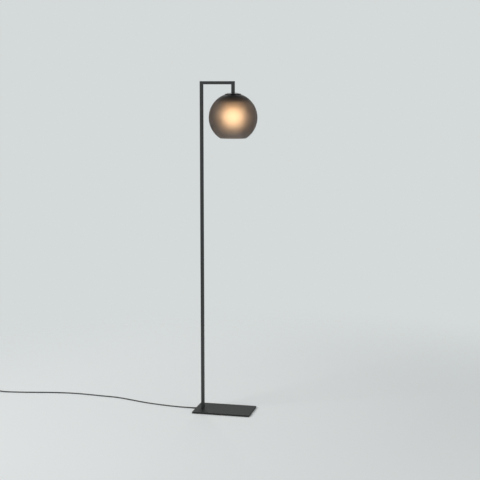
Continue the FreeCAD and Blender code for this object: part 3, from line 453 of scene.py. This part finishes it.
class Blank:
    """A mesh that bmesh operators shape, finished as one object."""

    def __init__(self) -> None:
        """Start empty."""
        self.bm = bmesh.new()

    def line(self, corners: list[tuple[float, float]]) -> list[bmesh.types.BMVert]:
        """Vertices joined in a row in the XZ plane.

        Args:
            corners: (radius, height) pairs.

        Returns:
            The vertices.
        """
        verts = [self.bm.verts.new((x, 0, z)) for x, z in corners]
        for before, after in zip(verts, verts[1:]):
            self.bm.edges.new((before, after))
        return verts

    def soften(self, parts: list, radius: float, segments: int = 3) -> None:
        """Round off corners of a line or edges of a solid.

        Args:
            parts: all vertices, or all edges.
            radius: how far from each the rounding starts.
            segments: faces round it.
        """
        affect = "VERTICES" if isinstance(parts[0], bmesh.types.BMVert) else "EDGES"
        bmesh.ops.bevel(self.bm, geom=parts, offset=radius, offset_type="OFFSET", segments=segments,
                        profile=0.5, affect=affect, material=-1, clamp_overlap=True)

    @classmethod
    def turned(cls, corners: list[tuple[float, float]], round_off: dict[int, float] | None = None,
               steps: int = 64) -> "Blank":
        """A turned piece from its half section.

        Args:
            corners: (radius, height) pairs, from the axis to the axis or back to the first pair.
            round_off: radii by corner number.
            steps: faces round the axis.

        Returns:
            The blank.
        """
        blank = cls()
        verts = blank.line(corners)
        for number, radius in (round_off or {}).items():
            blank.soften([verts[number]], radius)
        blank.spin(steps)
        blank.face_out()
        return blank

    def spin(self, steps: int = 64) -> None:
        """Turn everything once about the Z axis.

        Args:
            steps: faces round the axis.
        """
        geom = [*self.bm.verts, *self.bm.edges]
        bmesh.ops.spin(self.bm, geom=geom, cent=(0, 0, 0), axis=UP, angle=TURN, steps=steps, use_merge=True)
        self.merge()

    def merge(self) -> None:
        """Join vertices that lie in one place."""
        bmesh.ops.remove_doubles(self.bm, verts=list(self.bm.verts), dist=MERGE)

    def roll(self, radius: float, depth: float, pitch: float, turns: int, steps: int = 48,
             points: int = 8) -> None:
        """A round-bottomed rolled thread, as a shell that starts at height 0.

        Args:
            radius: over its crests.
            depth: from crest to root.
            pitch: its rise in one turn.
            turns: how many turns.
            steps: faces in one turn.
            points: faces from root to root.
        """
        shares = [k / points for k in range(points + 1)]
        self.line([(radius - depth * wave(TURN * share), pitch * share) for share in shares])
        geom = [*self.bm.verts, *self.bm.edges]
        bmesh.ops.spin(self.bm, geom=geom, cent=(0, 0, 0), axis=UP, dvec=(0, 0, pitch / steps),
                       angle=TURN * turns, steps=steps * turns)
        self.merge()

    def draw_out(self, edges: list[bmesh.types.BMEdge]) -> list[bmesh.types.BMVert]:
        """Extrude edges.

        Args:
            edges: the edges.

        Returns:
            The new vertices, still where the old ones are.
        """
        made = bmesh.ops.extrude_edge_only(self.bm, edges=edges)
        return [part for part in made["geom"] if isinstance(part, bmesh.types.BMVert)]

    def lead(self, height: float, radius: float, reach: float) -> None:
        """Draw the open rim at a height out to a round rim above or below it.

        Args:
            height: where the open rim lies.
            radius: of the round rim.
            reach: how much higher that is.
        """
        rim = [edge for edge in self.bm.edges
               if edge.is_boundary and all(abs(vert.co.z - height) < LEVEL for vert in edge.verts)]
        for vert in self.draw_out(rim):
            vert.co = (*(radius * vert.co.xy.normalized()), height + reach)

    def flute(self, low: float, high: float, count: int, depth: float) -> None:
        """Press upright grooves into a turned piece.

        Args:
            low: the height they start above.
            high: the height they end below.
            count: how many grooves.
            depth: of each groove.
        """
        for vert in self.bm.verts:
            if low < vert.co.z < high and vert.co.xy.length > MERGE:
                angle = math.atan2(vert.co.y, vert.co.x)
                vert.co.xy -= vert.co.xy.normalized() * depth * wave(count * angle)

    def take(self, other: "Blank", at: Matrix) -> None:
        """Add another blank and end that one.

        Args:
            other: the blank.
            at: the place for it.
        """
        mesh = bpy.data.meshes.new("part")
        other.bm.to_mesh(mesh)
        other.bm.free()
        mesh.transform(at)
        self.bm.from_mesh(mesh)
        bpy.data.meshes.remove(mesh)

    def trim(self, height: float, above: bool) -> None:
        """Cut at a height.

        Args:
            height: where.
            above: True to cut off what is above it, False for what is below it.
        """
        geom = [*self.bm.verts, *self.bm.edges, *self.bm.faces]
        bmesh.ops.bisect_plane(self.bm, geom=geom, dist=1e-7, plane_co=(0, 0, height), plane_no=UP,
                               clear_outer=above, clear_inner=not above)

    def close(self) -> None:
        """Fill the open rims."""
        rims = [edge for edge in self.bm.edges if edge.is_boundary]
        bmesh.ops.holes_fill(self.bm, edges=rims, sides=0)

    def face_out(self) -> None:
        """Turn the normals outwards."""
        bmesh.ops.recalc_face_normals(self.bm, faces=list(self.bm.faces))

    def thicken(self, wall: float) -> None:
        """Give a shell a wall inside it."""
        bmesh.ops.solidify(self.bm, geom=list(self.bm.faces), thickness=wall)

    def move(self, by: Vector) -> None:
        """Shift everything."""
        bmesh.ops.translate(self.bm, verts=list(self.bm.verts), vec=by)

    def object(self, name: str, material: bpy.types.Material, body: Part,
               sharp: float = 40.0) -> bpy.types.Object:
        """Finish the mesh as an object on a body.

        Args:
            name: the piece's name.
            material: its finish.
            body: what it rides on.
            sharp: the least angle, in degrees, that shows as an edge.

        Returns:
            The new object.
        """
        mesh = bpy.data.meshes.new(name)
        self.bm.to_mesh(mesh)
        self.bm.free()
        mesh.shade_smooth()
        mesh.set_sharp_from_angle(angle=math.radians(sharp))
        return add_piece(bpy.data.objects.new(name, mesh), material, body)


def add_piece(piece: bpy.types.Object, material: bpy.types.Material, body: Part) -> bpy.types.Object:
    """Link an object, finish it and let it ride on a body.

    Args:
        piece: the object.
        material: its finish.
        body: what it rides on.

    Returns:
        The same object.
    """
    bpy.context.scene.collection.objects.link(piece)
    piece.data.materials.append(material)
    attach(piece, body.value)
    log.info("made %s", piece.name)
    return piece


def dress(material: bpy.types.Material, *nodes: str) -> None:
    """Give CAD nodes a material.

    Args:
        material: the finish.
        nodes: the names of the nodes.
    """
    for name in nodes:
        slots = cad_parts[name].data.materials
        slots.clear()
        slots.append(material)
        log.info("dressed %s", name)


def on_axis(low: Vector, high: Vector, height: float) -> Vector:
    """A point at a height over the middle of a box, in the plane of post and arm."""
    return Vector(((low.x + high.x) / 2, 0, height))


def at(x: float, y: float, z: float, turned: float = 0.0, about: str = "X") -> Matrix:
    """A place, with a turn in degrees about an axis there."""
    return Matrix.Translation((x, y, z)) @ Matrix.Rotation(math.radians(turned), 4, about)


# The lamp


@dataclass
class Metalwork:
    """Base, post, arm, drop tube and cap, and the fittings inside them."""

    finishes: Finishes
    foot_radius: float = 8 * MM
    foot_rounding: float = 0.7 * MM
    dimple_floor: float = 3 * MM
    dimple_mouth: float = 3.6 * MM
    dimple_depth: float = 0.3 * MM

    def build(self) -> None:
        """Dress the steel and make the feet."""
        plated = ("base_washer", "base_nut", "base_nipple", "post_foot_plug", "post_sleeve", "grub_screws",
                  "drop_tube_plug", "head_nipple", "shade_carrier", "carrier_nut")
        dress(self.finishes.powder, "post_lower", "post_upper", "arm", "drop_tube")
        dress(self.finishes.plate, "base_plate", "shade_cap")
        dress(self.finishes.zinc, *plated)
        dress(self.finishes.seal, "upper_seal", "lower_seal")
        dress(self.finishes.wire, "inner_wires")
        self.set_feet()

    def set_feet(self) -> None:
        """Four rubber feet, rounded below, each with a dimple in its underside."""
        low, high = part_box("base_feet")
        tall, radius = high.z - low.z, self.foot_radius
        section = [(0, self.dimple_depth), (self.dimple_floor, self.dimple_depth), (self.dimple_mouth, 0),
                   (radius, 0), (radius, tall), (0, tall)]
        feet = Blank()
        for x in (low.x + radius, high.x - radius):
            for y in (low.y + radius, high.y - radius):
                feet.take(Blank.turned(section, {3: self.foot_rounding}, 40), at(x, y, low.z))
        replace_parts(feet.object("rubber_feet", self.finishes.rubber, Part.STAND), "base_feet")


@dataclass
class GlassGlobe:
    """The smoked glass globe, open below."""

    finishes: Finishes
    wall: float = 2.5 * MM
    hole: float = 21 * MM
    rim: float = 0.9 * MM
    rim_angle: float = 0.6
    rings: int = 96
    sides: int = 144

    def build(self) -> None:
        """Blow the globe: a sphere, cut at its mouth and at its hole, with a wall and polished rims."""
        low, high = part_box("shade")
        radius = (high.x - low.x) / 2
        centre = on_axis(low, high, high.z - math.sqrt(radius ** 2 - self.hole ** 2))
        blank = Blank()
        bmesh.ops.create_uvsphere(blank.bm, u_segments=self.sides, v_segments=self.rings, radius=radius)
        blank.trim(low.z - centre.z, above=False)
        blank.trim(high.z - centre.z, above=True)
        blank.face_out()
        blank.thicken(self.wall)
        blank.soften([edge for edge in blank.bm.edges
                      if len(edge.link_faces) == 2 and edge.calc_face_angle(0) > self.rim_angle], self.rim)
        blank.face_out()
        blank.move(centre)
        globe = blank.object("globe_glass", self.finishes.glass, Part.STAND, sharp=60.0)
        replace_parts(globe, "shade")


@dataclass
class Bulb:
    """The opal bulb: glass, housing and screw cap.

    Above the thread the cap has a shoulder and a sloping crown, each a (height, step inwards) pair.
    """

    finishes: Finishes
    wall: float = 1.0 * MM
    rings: int = 64
    sides: int = 96
    thread_pitch: float = 3.6 * MM
    thread_depth: float = 0.9 * MM
    thread_turns: int = 6
    foot: float = 2.4 * MM
    run_out: float = 1.0 * MM
    shoulder: tuple[float, float] = (1.2 * MM, 1.0 * MM)
    crown: tuple[float, float] = (0.8 * MM, 0.6 * MM)

    def build(self) -> None:
        """Make the glass and the screw cap, and dress the rest."""
        low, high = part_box("bulb_globe")
        radius = (high.x - low.x) / 2
        centre = on_axis(low, high, low.z + radius)
        blank = Blank()
        bmesh.ops.create_uvsphere(blank.bm, u_segments=self.sides, v_segments=self.rings, radius=radius)
        blank.trim(high.z - centre.z, above=True)
        blank.face_out()
        blank.thicken(self.wall)
        blank.move(centre)
        glass = blank.object("bulb_glass", self.finishes.opal, Part.BULB)
        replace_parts(glass, "bulb_globe")
        self.cap()
        dress(self.finishes.white, "bulb_housing")
        dress(self.finishes.aluminium, "bulb_contact")
        dress(self.finishes.insulator, "bulb_insulator")

    def cap(self) -> None:
        """The screw cap, with its rolled thread between a plain ring and a shoulder."""
        low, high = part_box("bulb_cap")
        tall, radius = high.z - low.z, (high.x - low.x) / 2
        (rise, step), (crown_rise, crown_step) = self.shoulder, self.crown
        head = tall - rise - crown_rise
        blank = Blank()
        blank.roll(radius, self.thread_depth, self.thread_pitch, self.thread_turns)
        blank.move(Vector((0, 0, -self.thread_pitch / 2)))
        blank.trim(self.foot, above=False)
        blank.trim(head, above=True)
        blank.lead(self.foot, radius, -self.run_out)
        blank.lead(self.foot - self.run_out, radius, self.run_out - self.foot)
        blank.lead(head, radius - step, rise)
        blank.lead(head + rise, radius - step - crown_step, crown_rise)
        blank.close()
        blank.face_out()
        blank.move(on_axis(low, high, low.z))
        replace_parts(blank.object("bulb_screw", self.finishes.aluminium, Part.BULB), "bulb_cap")


@dataclass
class Lampholder:
    """The lampholder under the globe's carrier."""

    finishes: Finishes
    wall: float = 1.8 * MM
    bore: float = 5.1 * MM
    shoulder: float = 5 * MM
    grips: int = 30
    grip_depth: float = 0.45 * MM
    grip_heights: tuple[float, float] = (1.5 * MM, 9.1 * MM)
    grip_end: float = 0.1 * MM
    skirt_wall: float = 2.9 * MM
    skirt_rounding: float = 1 * MM
    skirt_chamfer: float = 0.4 * MM
    ring_heights: tuple[float, float] = (4 * MM, 6 * MM)
    ring_width: float = 1 * MM
    ring_depth: float = 0.4 * MM
    ring_slope: float = 0.3 * MM

    def build(self) -> None:
        """Make the moulded shells and dress what is inside them."""
        self.cap()
        self.skirt()
        dress(self.finishes.porcelain, "holder_core")
        dress(self.finishes.zinc, "holder_shell")
        dress(self.finishes.brass, "holder_contact", "holder_terminals")

    def cap(self) -> None:
        """The upper shell, with a rounded shoulder and upright grips."""
        low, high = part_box("holder_cap")
        tall, radius = high.z - low.z, (high.x - low.x) / 2
        inner, roof = radius - self.wall, tall - self.wall
        (start, stop), end = self.grip_heights, self.grip_end
        section = [(inner, 0), (radius, 0), (radius, start), (radius, start + end), (radius, stop - end),
                   (radius, stop), (radius, tall), (self.bore, tall), (self.bore, roof), (inner, roof),
                   (inner, 0)]
        blank = Blank.turned(section, {6: self.shoulder, 9: self.shoulder - self.wall}, 240)
        blank.flute(start + end / 2, stop - end / 2, self.grips, self.grip_depth)
        blank.move(on_axis(low, high, low.z))
        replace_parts(blank.object("holder_upper", self.finishes.phenolic, Part.STAND), "holder_cap")

    def skirt(self) -> None:
        """The lower shell, with a rounded rim and two turned rings above it."""
        low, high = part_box("holder_skirt")
        tall, radius = high.z - low.z, (high.x - low.x) / 2
        inner, ring, chamfer = radius - self.skirt_wall, radius - self.ring_depth, self.skirt_chamfer
        section = [(inner, 0), (radius, 0)]
        for foot in self.ring_heights:
            top = foot + self.ring_width
            section += [(radius, foot), (ring, foot + self.ring_slope), (ring, top - self.ring_slope),
                        (radius, top)]
        section += [(radius, tall - chamfer), (radius - chamfer, tall), (inner, tall), (inner, 0)]
        blank = Blank.turned(section, {1: self.skirt_rounding}, 128)
        blank.move(on_axis(low, high, low.z))
        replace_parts(blank.object("holder_lower", self.finishes.phenolic, Part.STAND), "holder_skirt")


@dataclass
class CordSleeve:
    """The ribbed sleeve where the cord leaves the base, with the block that holds it in the plate.

    The sleeve's radii are root at the plate and tip at its end. A rib is flat for crest, and its groove
    is at full depth from floor_from to floor_to.
    """

    finishes: Finishes
    cord_radius: float
    length: float
    height: float
    root: float = 3.3 * MM
    tip: float = 2.9 * MM
    overlap: float = 1 * MM
    first_rib: float = 0.8 * MM
    rib_pitch: float = 2.2 * MM
    crest: float = 1.2 * MM
    floor_from: float = 1.4 * MM
    floor_to: float = 2.0 * MM
    skin: float = 0.1 * MM
    last_slope: float = 0.1 * MM
    block_width: float = 8.6 * MM
    block_gap: float = 0.1 * MM
    block_edge: float = 0.4 * MM

    def build(self) -> bpy.types.Object:
        """Turn the sleeve and add the block.

        Returns:
            The sleeve.
        """
        low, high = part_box("strain_relief")
        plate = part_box("base_plate")[0].x
        groove, along = self.cord_radius + self.skin, self.first_rib
        section = [(0, -self.overlap), (self.root, -self.overlap)]
        while along + self.rib_pitch < self.length:
            outer = self.root + (self.tip - self.root) * along / self.length
            section += [(outer, along), (outer, along + self.crest), (groove, along + self.floor_from),
                        (groove, along + self.floor_to)]
            along += self.rib_pitch
        section += [(self.tip, along + self.last_slope), (self.tip, self.length), (0, self.length)]
        sleeve = Blank()
        sleeve.take(Blank.turned(section, steps=48), at(plate, 0, self.height, -90, "Y"))
        block = Blank()
        bmesh.ops.create_cube(block.bm, size=1.0)
        size = Vector((high.x - plate, self.block_width, high.z - low.z - self.block_gap))
        bmesh.ops.scale(block.bm, vec=size, verts=list(block.bm.verts))
        block.soften(list(block.bm.edges), self.block_edge, 2)
        sleeve.take(block, at(plate + size.x / 2, 0, high.z - size.z / 2))
        made = sleeve.object("cord_sleeve", self.finishes.sheath, Part.STAND)
        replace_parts(made, "strain_relief")
        return made


@dataclass
class FootButton:
    """The foot switch's button, with raised rings, its flange under the cover and its stem.

    A ring's section is ring_crest wide at its top and ring_foot at its foot, on either side of its radius.
    """

    finishes: Finishes
    radius: float = 13 * MM
    rounding: float = 1.4 * MM
    cover_depth: float = 2.3 * MM
    flange: float = 14.5 * MM
    flange_height: float = 1.5 * MM
    stem: float = 3 * MM
    rings: tuple[float, ...] = (10 * MM, 7.4 * MM, 4.8 * MM)
    ring_height: float = 0.3 * MM
    ring_crest: float = 0.2 * MM
    ring_foot: float = 0.5 * MM

    def build(self) -> bpy.types.Object:
        """Turn the button.

        Returns:
            The button.
        """
        low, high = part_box("switch_button")
        under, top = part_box("switch_cover")[1].z - self.cover_depth, high.z - self.ring_height
        brim = under - self.flange_height
        section = [(0, low.z), (self.stem, low.z), (self.stem, brim), (self.flange, brim),
                   (self.flange, under), (self.radius, under), (self.radius, top)]
        for ring in self.rings:
            section += [(ring + self.ring_foot, top), (ring + self.ring_crest, high.z),
                        (ring - self.ring_crest, high.z), (ring - self.ring_foot, top)]
        section += [(0, top)]
        button = Blank.turned(section, {6: self.rounding}, 96)
        button.move(Vector(((low.x + high.x) / 2, (low.y + high.y) / 2, 0)))
        made = button.object("foot_button", self.finishes.switch, Part.BUTTON, sharp=30.0)
        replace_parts(made, "switch_button")
        return made


@dataclass
class PlugPins:
    """The plug's two pins with the sleeves over their near halves."""

    finishes: Finishes
    sleeve_length: float = 10 * MM
    sleeve_overlap: float = 0.5 * MM
    thin: float = 1.6 * MM
    root: float = 2 * MM
    tip: float = 1 * MM

    def build(self) -> list[bpy.types.Object]:
        """Turn the pins and the sleeves.

        Returns:
            The pins and the sleeves.
        """
        low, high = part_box("plug_pins")
        radius, long = (high.z - low.z) / 2, high.y - low.y
        half, thin, start = self.sleeve_length, self.thin, -self.sleeve_overlap
        pin_section = [(0, -self.root), (thin, -self.root), (thin, half), (radius, half),
                       (radius, long - self.tip), (radius - self.tip, long), (0, long)]
        sleeve_section = [(thin, start), (radius, start), (radius, half), (thin, half), (thin, start)]
        pins, sleeves = Blank(), Blank()
        for x in (low.x + radius, high.x - radius):
            place = at(x, high.y, (low.z + high.z) / 2, 90)
            pins.take(Blank.turned(pin_section, steps=32), place)
            sleeves.take(Blank.turned(sleeve_section, steps=32), place)
        metal = pins.object("contact_pins", self.finishes.nickel, Part.STAND)
        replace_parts(metal, "plug_pins")
        return [metal, sleeves.object("pin_sleeves", self.finishes.sheath, Part.STAND)]


@dataclass
class CoilTie:
    """The woven tie round the coil's turns."""

    finishes: Finishes
    corner: float
    wall: float = 0.6 * MM

    def build(self) -> bpy.types.Object:
        """Bend the tie round.

        Returns:
            The tie.
        """
        low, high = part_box("coil_strap")
        half_x, half_z = ((high.x - low.x) - self.wall) / 2, ((high.z - low.z) - self.wall) / 2
        blank = Blank()
        verts = blank.line([(-half_x, -half_z), (half_x, -half_z), (half_x, half_z), (-half_x, half_z)])
        blank.bm.edges.new((verts[-1], verts[0]))
        blank.soften(verts, self.corner, 5)
        moved = blank.draw_out(list(blank.bm.edges))
        bmesh.ops.translate(blank.bm, verts=moved, vec=(0, high.y - low.y, 0))
        blank.face_out()
        blank.thicken(self.wall)
        blank.move(Vector(((low.x + high.x) / 2, low.y, (low.z + high.z) / 2)))
        tie = blank.object("coil_tie", self.finishes.strap, Part.STAND)
        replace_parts(tie, "coil_strap")
        return tie


@dataclass
class MainsCord:
    """The cord from the base through the foot switch to the plug, with its spare length coiled.

    Heights in route and link are over the centre of a cord at rest. The route runs from the end of the
    strain relief to the foot switch, and the link from the switch's far end to the coil. Inside the switch
    the cord's underside is stem_lowest above the floor for stem_room on either side of the button's stem.
    The coil leaves after the part coil_last of a turn. The plug's leads are how far on from the coil the
    cord is still at the coil's height, and where it has come down to the plug's.
    """

    finishes: Finishes
    radius: float = 2.6 * MM
    rest: float = 2.9 * MM
    length: float = 2.092
    relief: float = 22 * MM
    relief_lift: float = 0.7 * MM
    relief_hold: float = 12 * MM
    route: list[tuple[float, float, float]] = field(default_factory=lambda: [
        (0, 0, 0.0007), (-0.022, 0, 0.0007), (-0.058, 0.003, 0), (-0.112, 0.009, 0), (-0.170, 0.020, 0),
        (-0.228, 0.033, 0), (-0.288, 0.054, 0), (-0.348, 0.077, 0), (-0.408, 0.094, 0), (-0.470, 0.098, 0),
        (-0.534, 0.106, 0), (-0.598, 0.112, 0), (-0.662, 0.110, 0), (-0.726, 0.102, 0), (-0.790, 0.090, 0),
        (-0.852, 0.077, 0), (-0.910, 0.068, 0), (-0.957, 0.062, 0.0002), (-0.996, 0.060, 0.0031),
        (-1.030, 0.060, 0.0031),
    ])
    stem_room: float = 12 * MM
    stem_lowest: float = 0.15 * MM
    link: list[tuple[float, float]] = field(default_factory=lambda: [
        (-0.016, 0.0031), (-0.042, 0.0011), (-0.066, 0.0011),
    ])
    coil_radius: float = 37 * MM
    coil_pitch: float = 6 * MM
    coil_turns: int = 2
    coil_last: float = 0.25
    coil_rise: float = 6 * MM
    coil_rest: float = 4 * MM
    coil_steps: int = 20
    plug_leads: tuple[float, float] = (14 * MM, 40 * MM)
    plug_hold: float = 10 * MM

    def points(self) -> list[Vector]:
        """The cord's whole line.

        Returns:
            The control points, from the base to the plug.
        """
        exit_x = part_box("base_plate")[0].x
        tip = Vector((exit_x - self.relief, 0, self.rest))
        line = [tip + Vector((self.relief_hold, 0, self.relief_lift))]
        line += [tip + Vector(spot) for spot in self.route]
        line += self.under_stem(line[-1])
        switch_end = Vector((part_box("switch_cover")[0].x, line[-1].y, self.rest))
        line += [switch_end + Vector((along, 0, up)) for along, up in self.link]
        centre = Vector((line[-1].x, line[-1].y - self.coil_radius, 0))
        turned = TURN * (2 * self.coil_turns + self.coil_last)
        count = round(self.coil_steps * turned / TURN)
        line += [centre + self.coil_spot(turned * k / count) for k in range(1, count + 1)]
        plug_low, plug_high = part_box("plug_body")
        lie = (plug_low.z + plug_high.z) / 2
        end = line[-1]
        first, second = self.plug_leads
        line += [end - Vector((0, first, 0)), Vector((end.x, end.y - second, lie)),
                 Vector((end.x, plug_high.y - self.plug_hold, lie))]
        return line

    def under_stem(self, entry: Vector) -> list[Vector]:
        """The cord's points inside the switch, low enough for the pressed button's stem.

        Args:
            entry: where the cord comes in.

        Returns:
            The points, the last one as high as the entry.
        """
        low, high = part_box("switch_button")
        middle = (low.x + high.x) / 2
        lowest = Vector((middle, entry.y, self.radius + self.stem_lowest))
        aside = Vector((self.stem_room, 0, 0))
        return [lowest + aside, lowest, lowest - aside, Vector((2 * middle - entry.x, entry.y, entry.z))]

    def coil_spot(self, turned: float) -> Vector:
        """A point of the coil after an angle.

        The cord winds inwards in the lower layer, climbs in half a turn and winds outwards in the upper.

        Args:
            turned: the angle from the coil's start.

        Returns:
            The point, from the coil's axis on the floor.
        """
        lower = TURN * self.coil_turns
        upper = lower + math.pi
        inner = self.coil_radius - self.coil_pitch * self.coil_turns
        per_angle = self.coil_pitch / TURN
        if turned <= lower:
            radius, up = self.coil_radius - per_angle * turned, 0.0
        elif turned >= upper:
            radius, up = inner + per_angle * (turned - upper), 1.0
        else:
            half = turned - lower - math.pi / 2
            radius = inner + per_angle / math.pi * (half ** 2 - math.pi ** 2 / 4)
            share = half / math.pi + 0.5
            up = share ** 2 * (3 - 2 * share)
        angle = math.pi / 2 + turned
        height = self.coil_rest + self.coil_rise * up
        return Vector((radius * math.cos(angle), radius * math.sin(angle), height))

    def build(self) -> None:
        curve = bpy.data.curves.new("mains_cord", "CURVE")
        curve.dimensions = "3D"
        curve.bevel_depth = self.radius
        curve.bevel_resolution = 5
        curve.resolution_u = 6
        curve.use_fill_caps = True
        line = self.points()
        spline = curve.splines.new("NURBS")
        spline.points.add(len(line) - 1)
        for point, spot in zip(spline.points, line):
            point.co = (*spot, 1.0)
        spline.order_u = 3
        spline.use_endpoint_u = True
        cord = add_piece(bpy.data.objects.new("mains_cord", curve), self.finishes.sheath, Part.STAND)
        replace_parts(cord, "cord_run", "cord_link", "cord_coil", "cord_tail")
        dress(self.finishes.sheath, "plug_body")
        dress(self.finishes.switch, "switch_tray", "switch_cover")
        dress(self.finishes.insulator, "switch_mechanism")
        dress(self.finishes.zinc, "switch_screws")
        fittings = (CordSleeve(self.finishes, self.radius, self.relief, self.rest + self.relief_lift),
                    FootButton(self.finishes), CoilTie(self.finishes, self.radius))
        made = [*(fitting.build() for fitting in fittings), *PlugPins(self.finishes).build()]
        2 * self.radius


@dataclass
class Studio:
    """Floor, soft lights and the camera.

    The floor is plain to floor_near and gone at floor_far; its disc reaches floor_edge times as far.
    Each light is its name, place, size and power in watts.
    """

    aim: Vector = field(default_factory=lambda: Vector((0, 0, 0.75)))
    eye: Vector = field(default_factory=lambda: Vector((1.1902, -4.8832, 1.4862)))
    pitch: float = 7.865
    heading: float = 12.976
    lens: float = 84.54
    sensor: float = 36.0
    pale: tuple = (0.66, 0.695, 0.695)
    ambient: float = 0.46
    floor_tone: tuple = (0.88, 0.90, 0.90)
    floor_edge: float = 1.2
    floor_near: float = 0.9
    floor_far: float = 2.6
    lights: tuple = (
        ("key_light", (-4.4, -3.8, 3.8), 3.2, 265.0),
        ("fill_light", (3.2, -2.2, 2.0), 2.0, 14.0),
        ("back_light", (-0.8, 3.0, 3.2), 1.6, 38.0),
    )

    def build(self) -> None:
        """Set the stage."""
        self.lay_floor()
        self.light_world()
        for name, spot, size, power in self.lights:
            self.hang_light(name, Vector(spot), size, power)
        self.stand_camera()
        bpy.context.scene.view_settings.view_transform = "Standard"

    def lay_floor(self) -> None:
        """A pale floor that keeps the lamp's shadow and fades into the surroundings further out."""
        blank = Blank()
        bmesh.ops.create_circle(blank.bm, cap_ends=True, segments=96,
                                radius=self.floor_edge * self.floor_far)
        mesh = bpy.data.meshes.new("studio_floor")
        blank.bm.to_mesh(mesh)
        blank.bm.free()
        floor = bpy.data.objects.new("studio_floor", mesh)
        bpy.context.scene.collection.objects.link(floor)
        graph = Graph("studio_floor")
        reach = graph.node("ShaderNodeVectorMath", {"operation": "LENGTH"}, {0: graph.place()}, out=1)
        fade = graph.rise(reach, self.floor_near, self.floor_far)
        plain = graph.node("ShaderNodeBsdfPrincipled", sockets={
            "Base Color": (*self.floor_tone, 1.0), "Roughness": 0.7, "Specular IOR Level": 0.2,
        })
        clear = graph.node("ShaderNodeBsdfTransparent")
        both = graph.node("ShaderNodeMixShader", sockets={0: fade, 1: plain, 2: clear})
        mesh.materials.append(graph.finish(both))

    def light_world(self) -> None:
        """Even pale surroundings as a background and through the glass, dimmer as a light and in gloss."""
        world = bpy.data.worlds.new("studio")
        bpy.context.scene.world = world
        world.use_nodes = True
        tree = world.node_tree
        tree.nodes.clear()
        path = tree.nodes.new("ShaderNodeLightPath")
        seen = tree.nodes.new("ShaderNodeMath")
        seen.operation = "MAXIMUM"
        mix = tree.nodes.new("ShaderNodeMixShader")
        output = tree.nodes.new("ShaderNodeOutputWorld")
        for socket, strength in ((1, self.ambient), (2, 1.0)):
            background = tree.nodes.new("ShaderNodeBackground")
            background.inputs["Color"].default_value = (*self.pale, 1.0)
            background.inputs["Strength"].default_value = strength
            tree.links.new(background.outputs[0], mix.inputs[socket])
        tree.links.new(path.outputs["Is Camera Ray"], seen.inputs[0])
        tree.links.new(path.outputs["Is Transmission Ray"], seen.inputs[1])
        tree.links.new(seen.outputs[0], mix.inputs[0])
        tree.links.new(mix.outputs[0], output.inputs["Surface"])

    def hang_light(self, name: str, spot: Vector, size: float, power: float) -> None:
        """One square soft light, turned to the lamp.

        Args:
            name: the light's name.
            spot: where it hangs.
            size: its side.
            power: its power in watts.
        """
        lamp = bpy.data.lights.new(name, "AREA")
        lamp.shape = "SQUARE"
        lamp.size = size
        lamp.energy = power
        light = bpy.data.objects.new(name, lamp)
        light.location = spot
        light.rotation_euler = (spot - self.aim).to_track_quat("Z", "Y").to_euler()
        bpy.context.scene.collection.objects.link(light)

    def stand_camera(self) -> None:
        """The camera at the photograph's angle."""
        lens = bpy.data.cameras.new("camera")
        lens.sensor_fit = "HORIZONTAL"
        lens.sensor_width = self.sensor
        lens.lens = self.lens
        camera = bpy.data.objects.new("camera", lens)
        camera.location = self.eye
        camera.rotation_euler = (math.radians(90 - self.pitch), 0, math.radians(self.heading))
        bpy.context.scene.collection.objects.link(camera)
        bpy.context.scene.camera = camera


def main() -> None:
    """Build the lamp and its stage."""
    logging.basicConfig(level=logging.INFO, format="%(message)s")
    finishes = Finishes.mix()
    for assembly in (Studio(), Metalwork(finishes), GlassGlobe(finishes), Lampholder(finishes),
                     Bulb(finishes), MainsCord(finishes)):
        assembly.build()
        log.info("%s done", type(assembly).__name__)


if __name__ == "__main__":
    main()
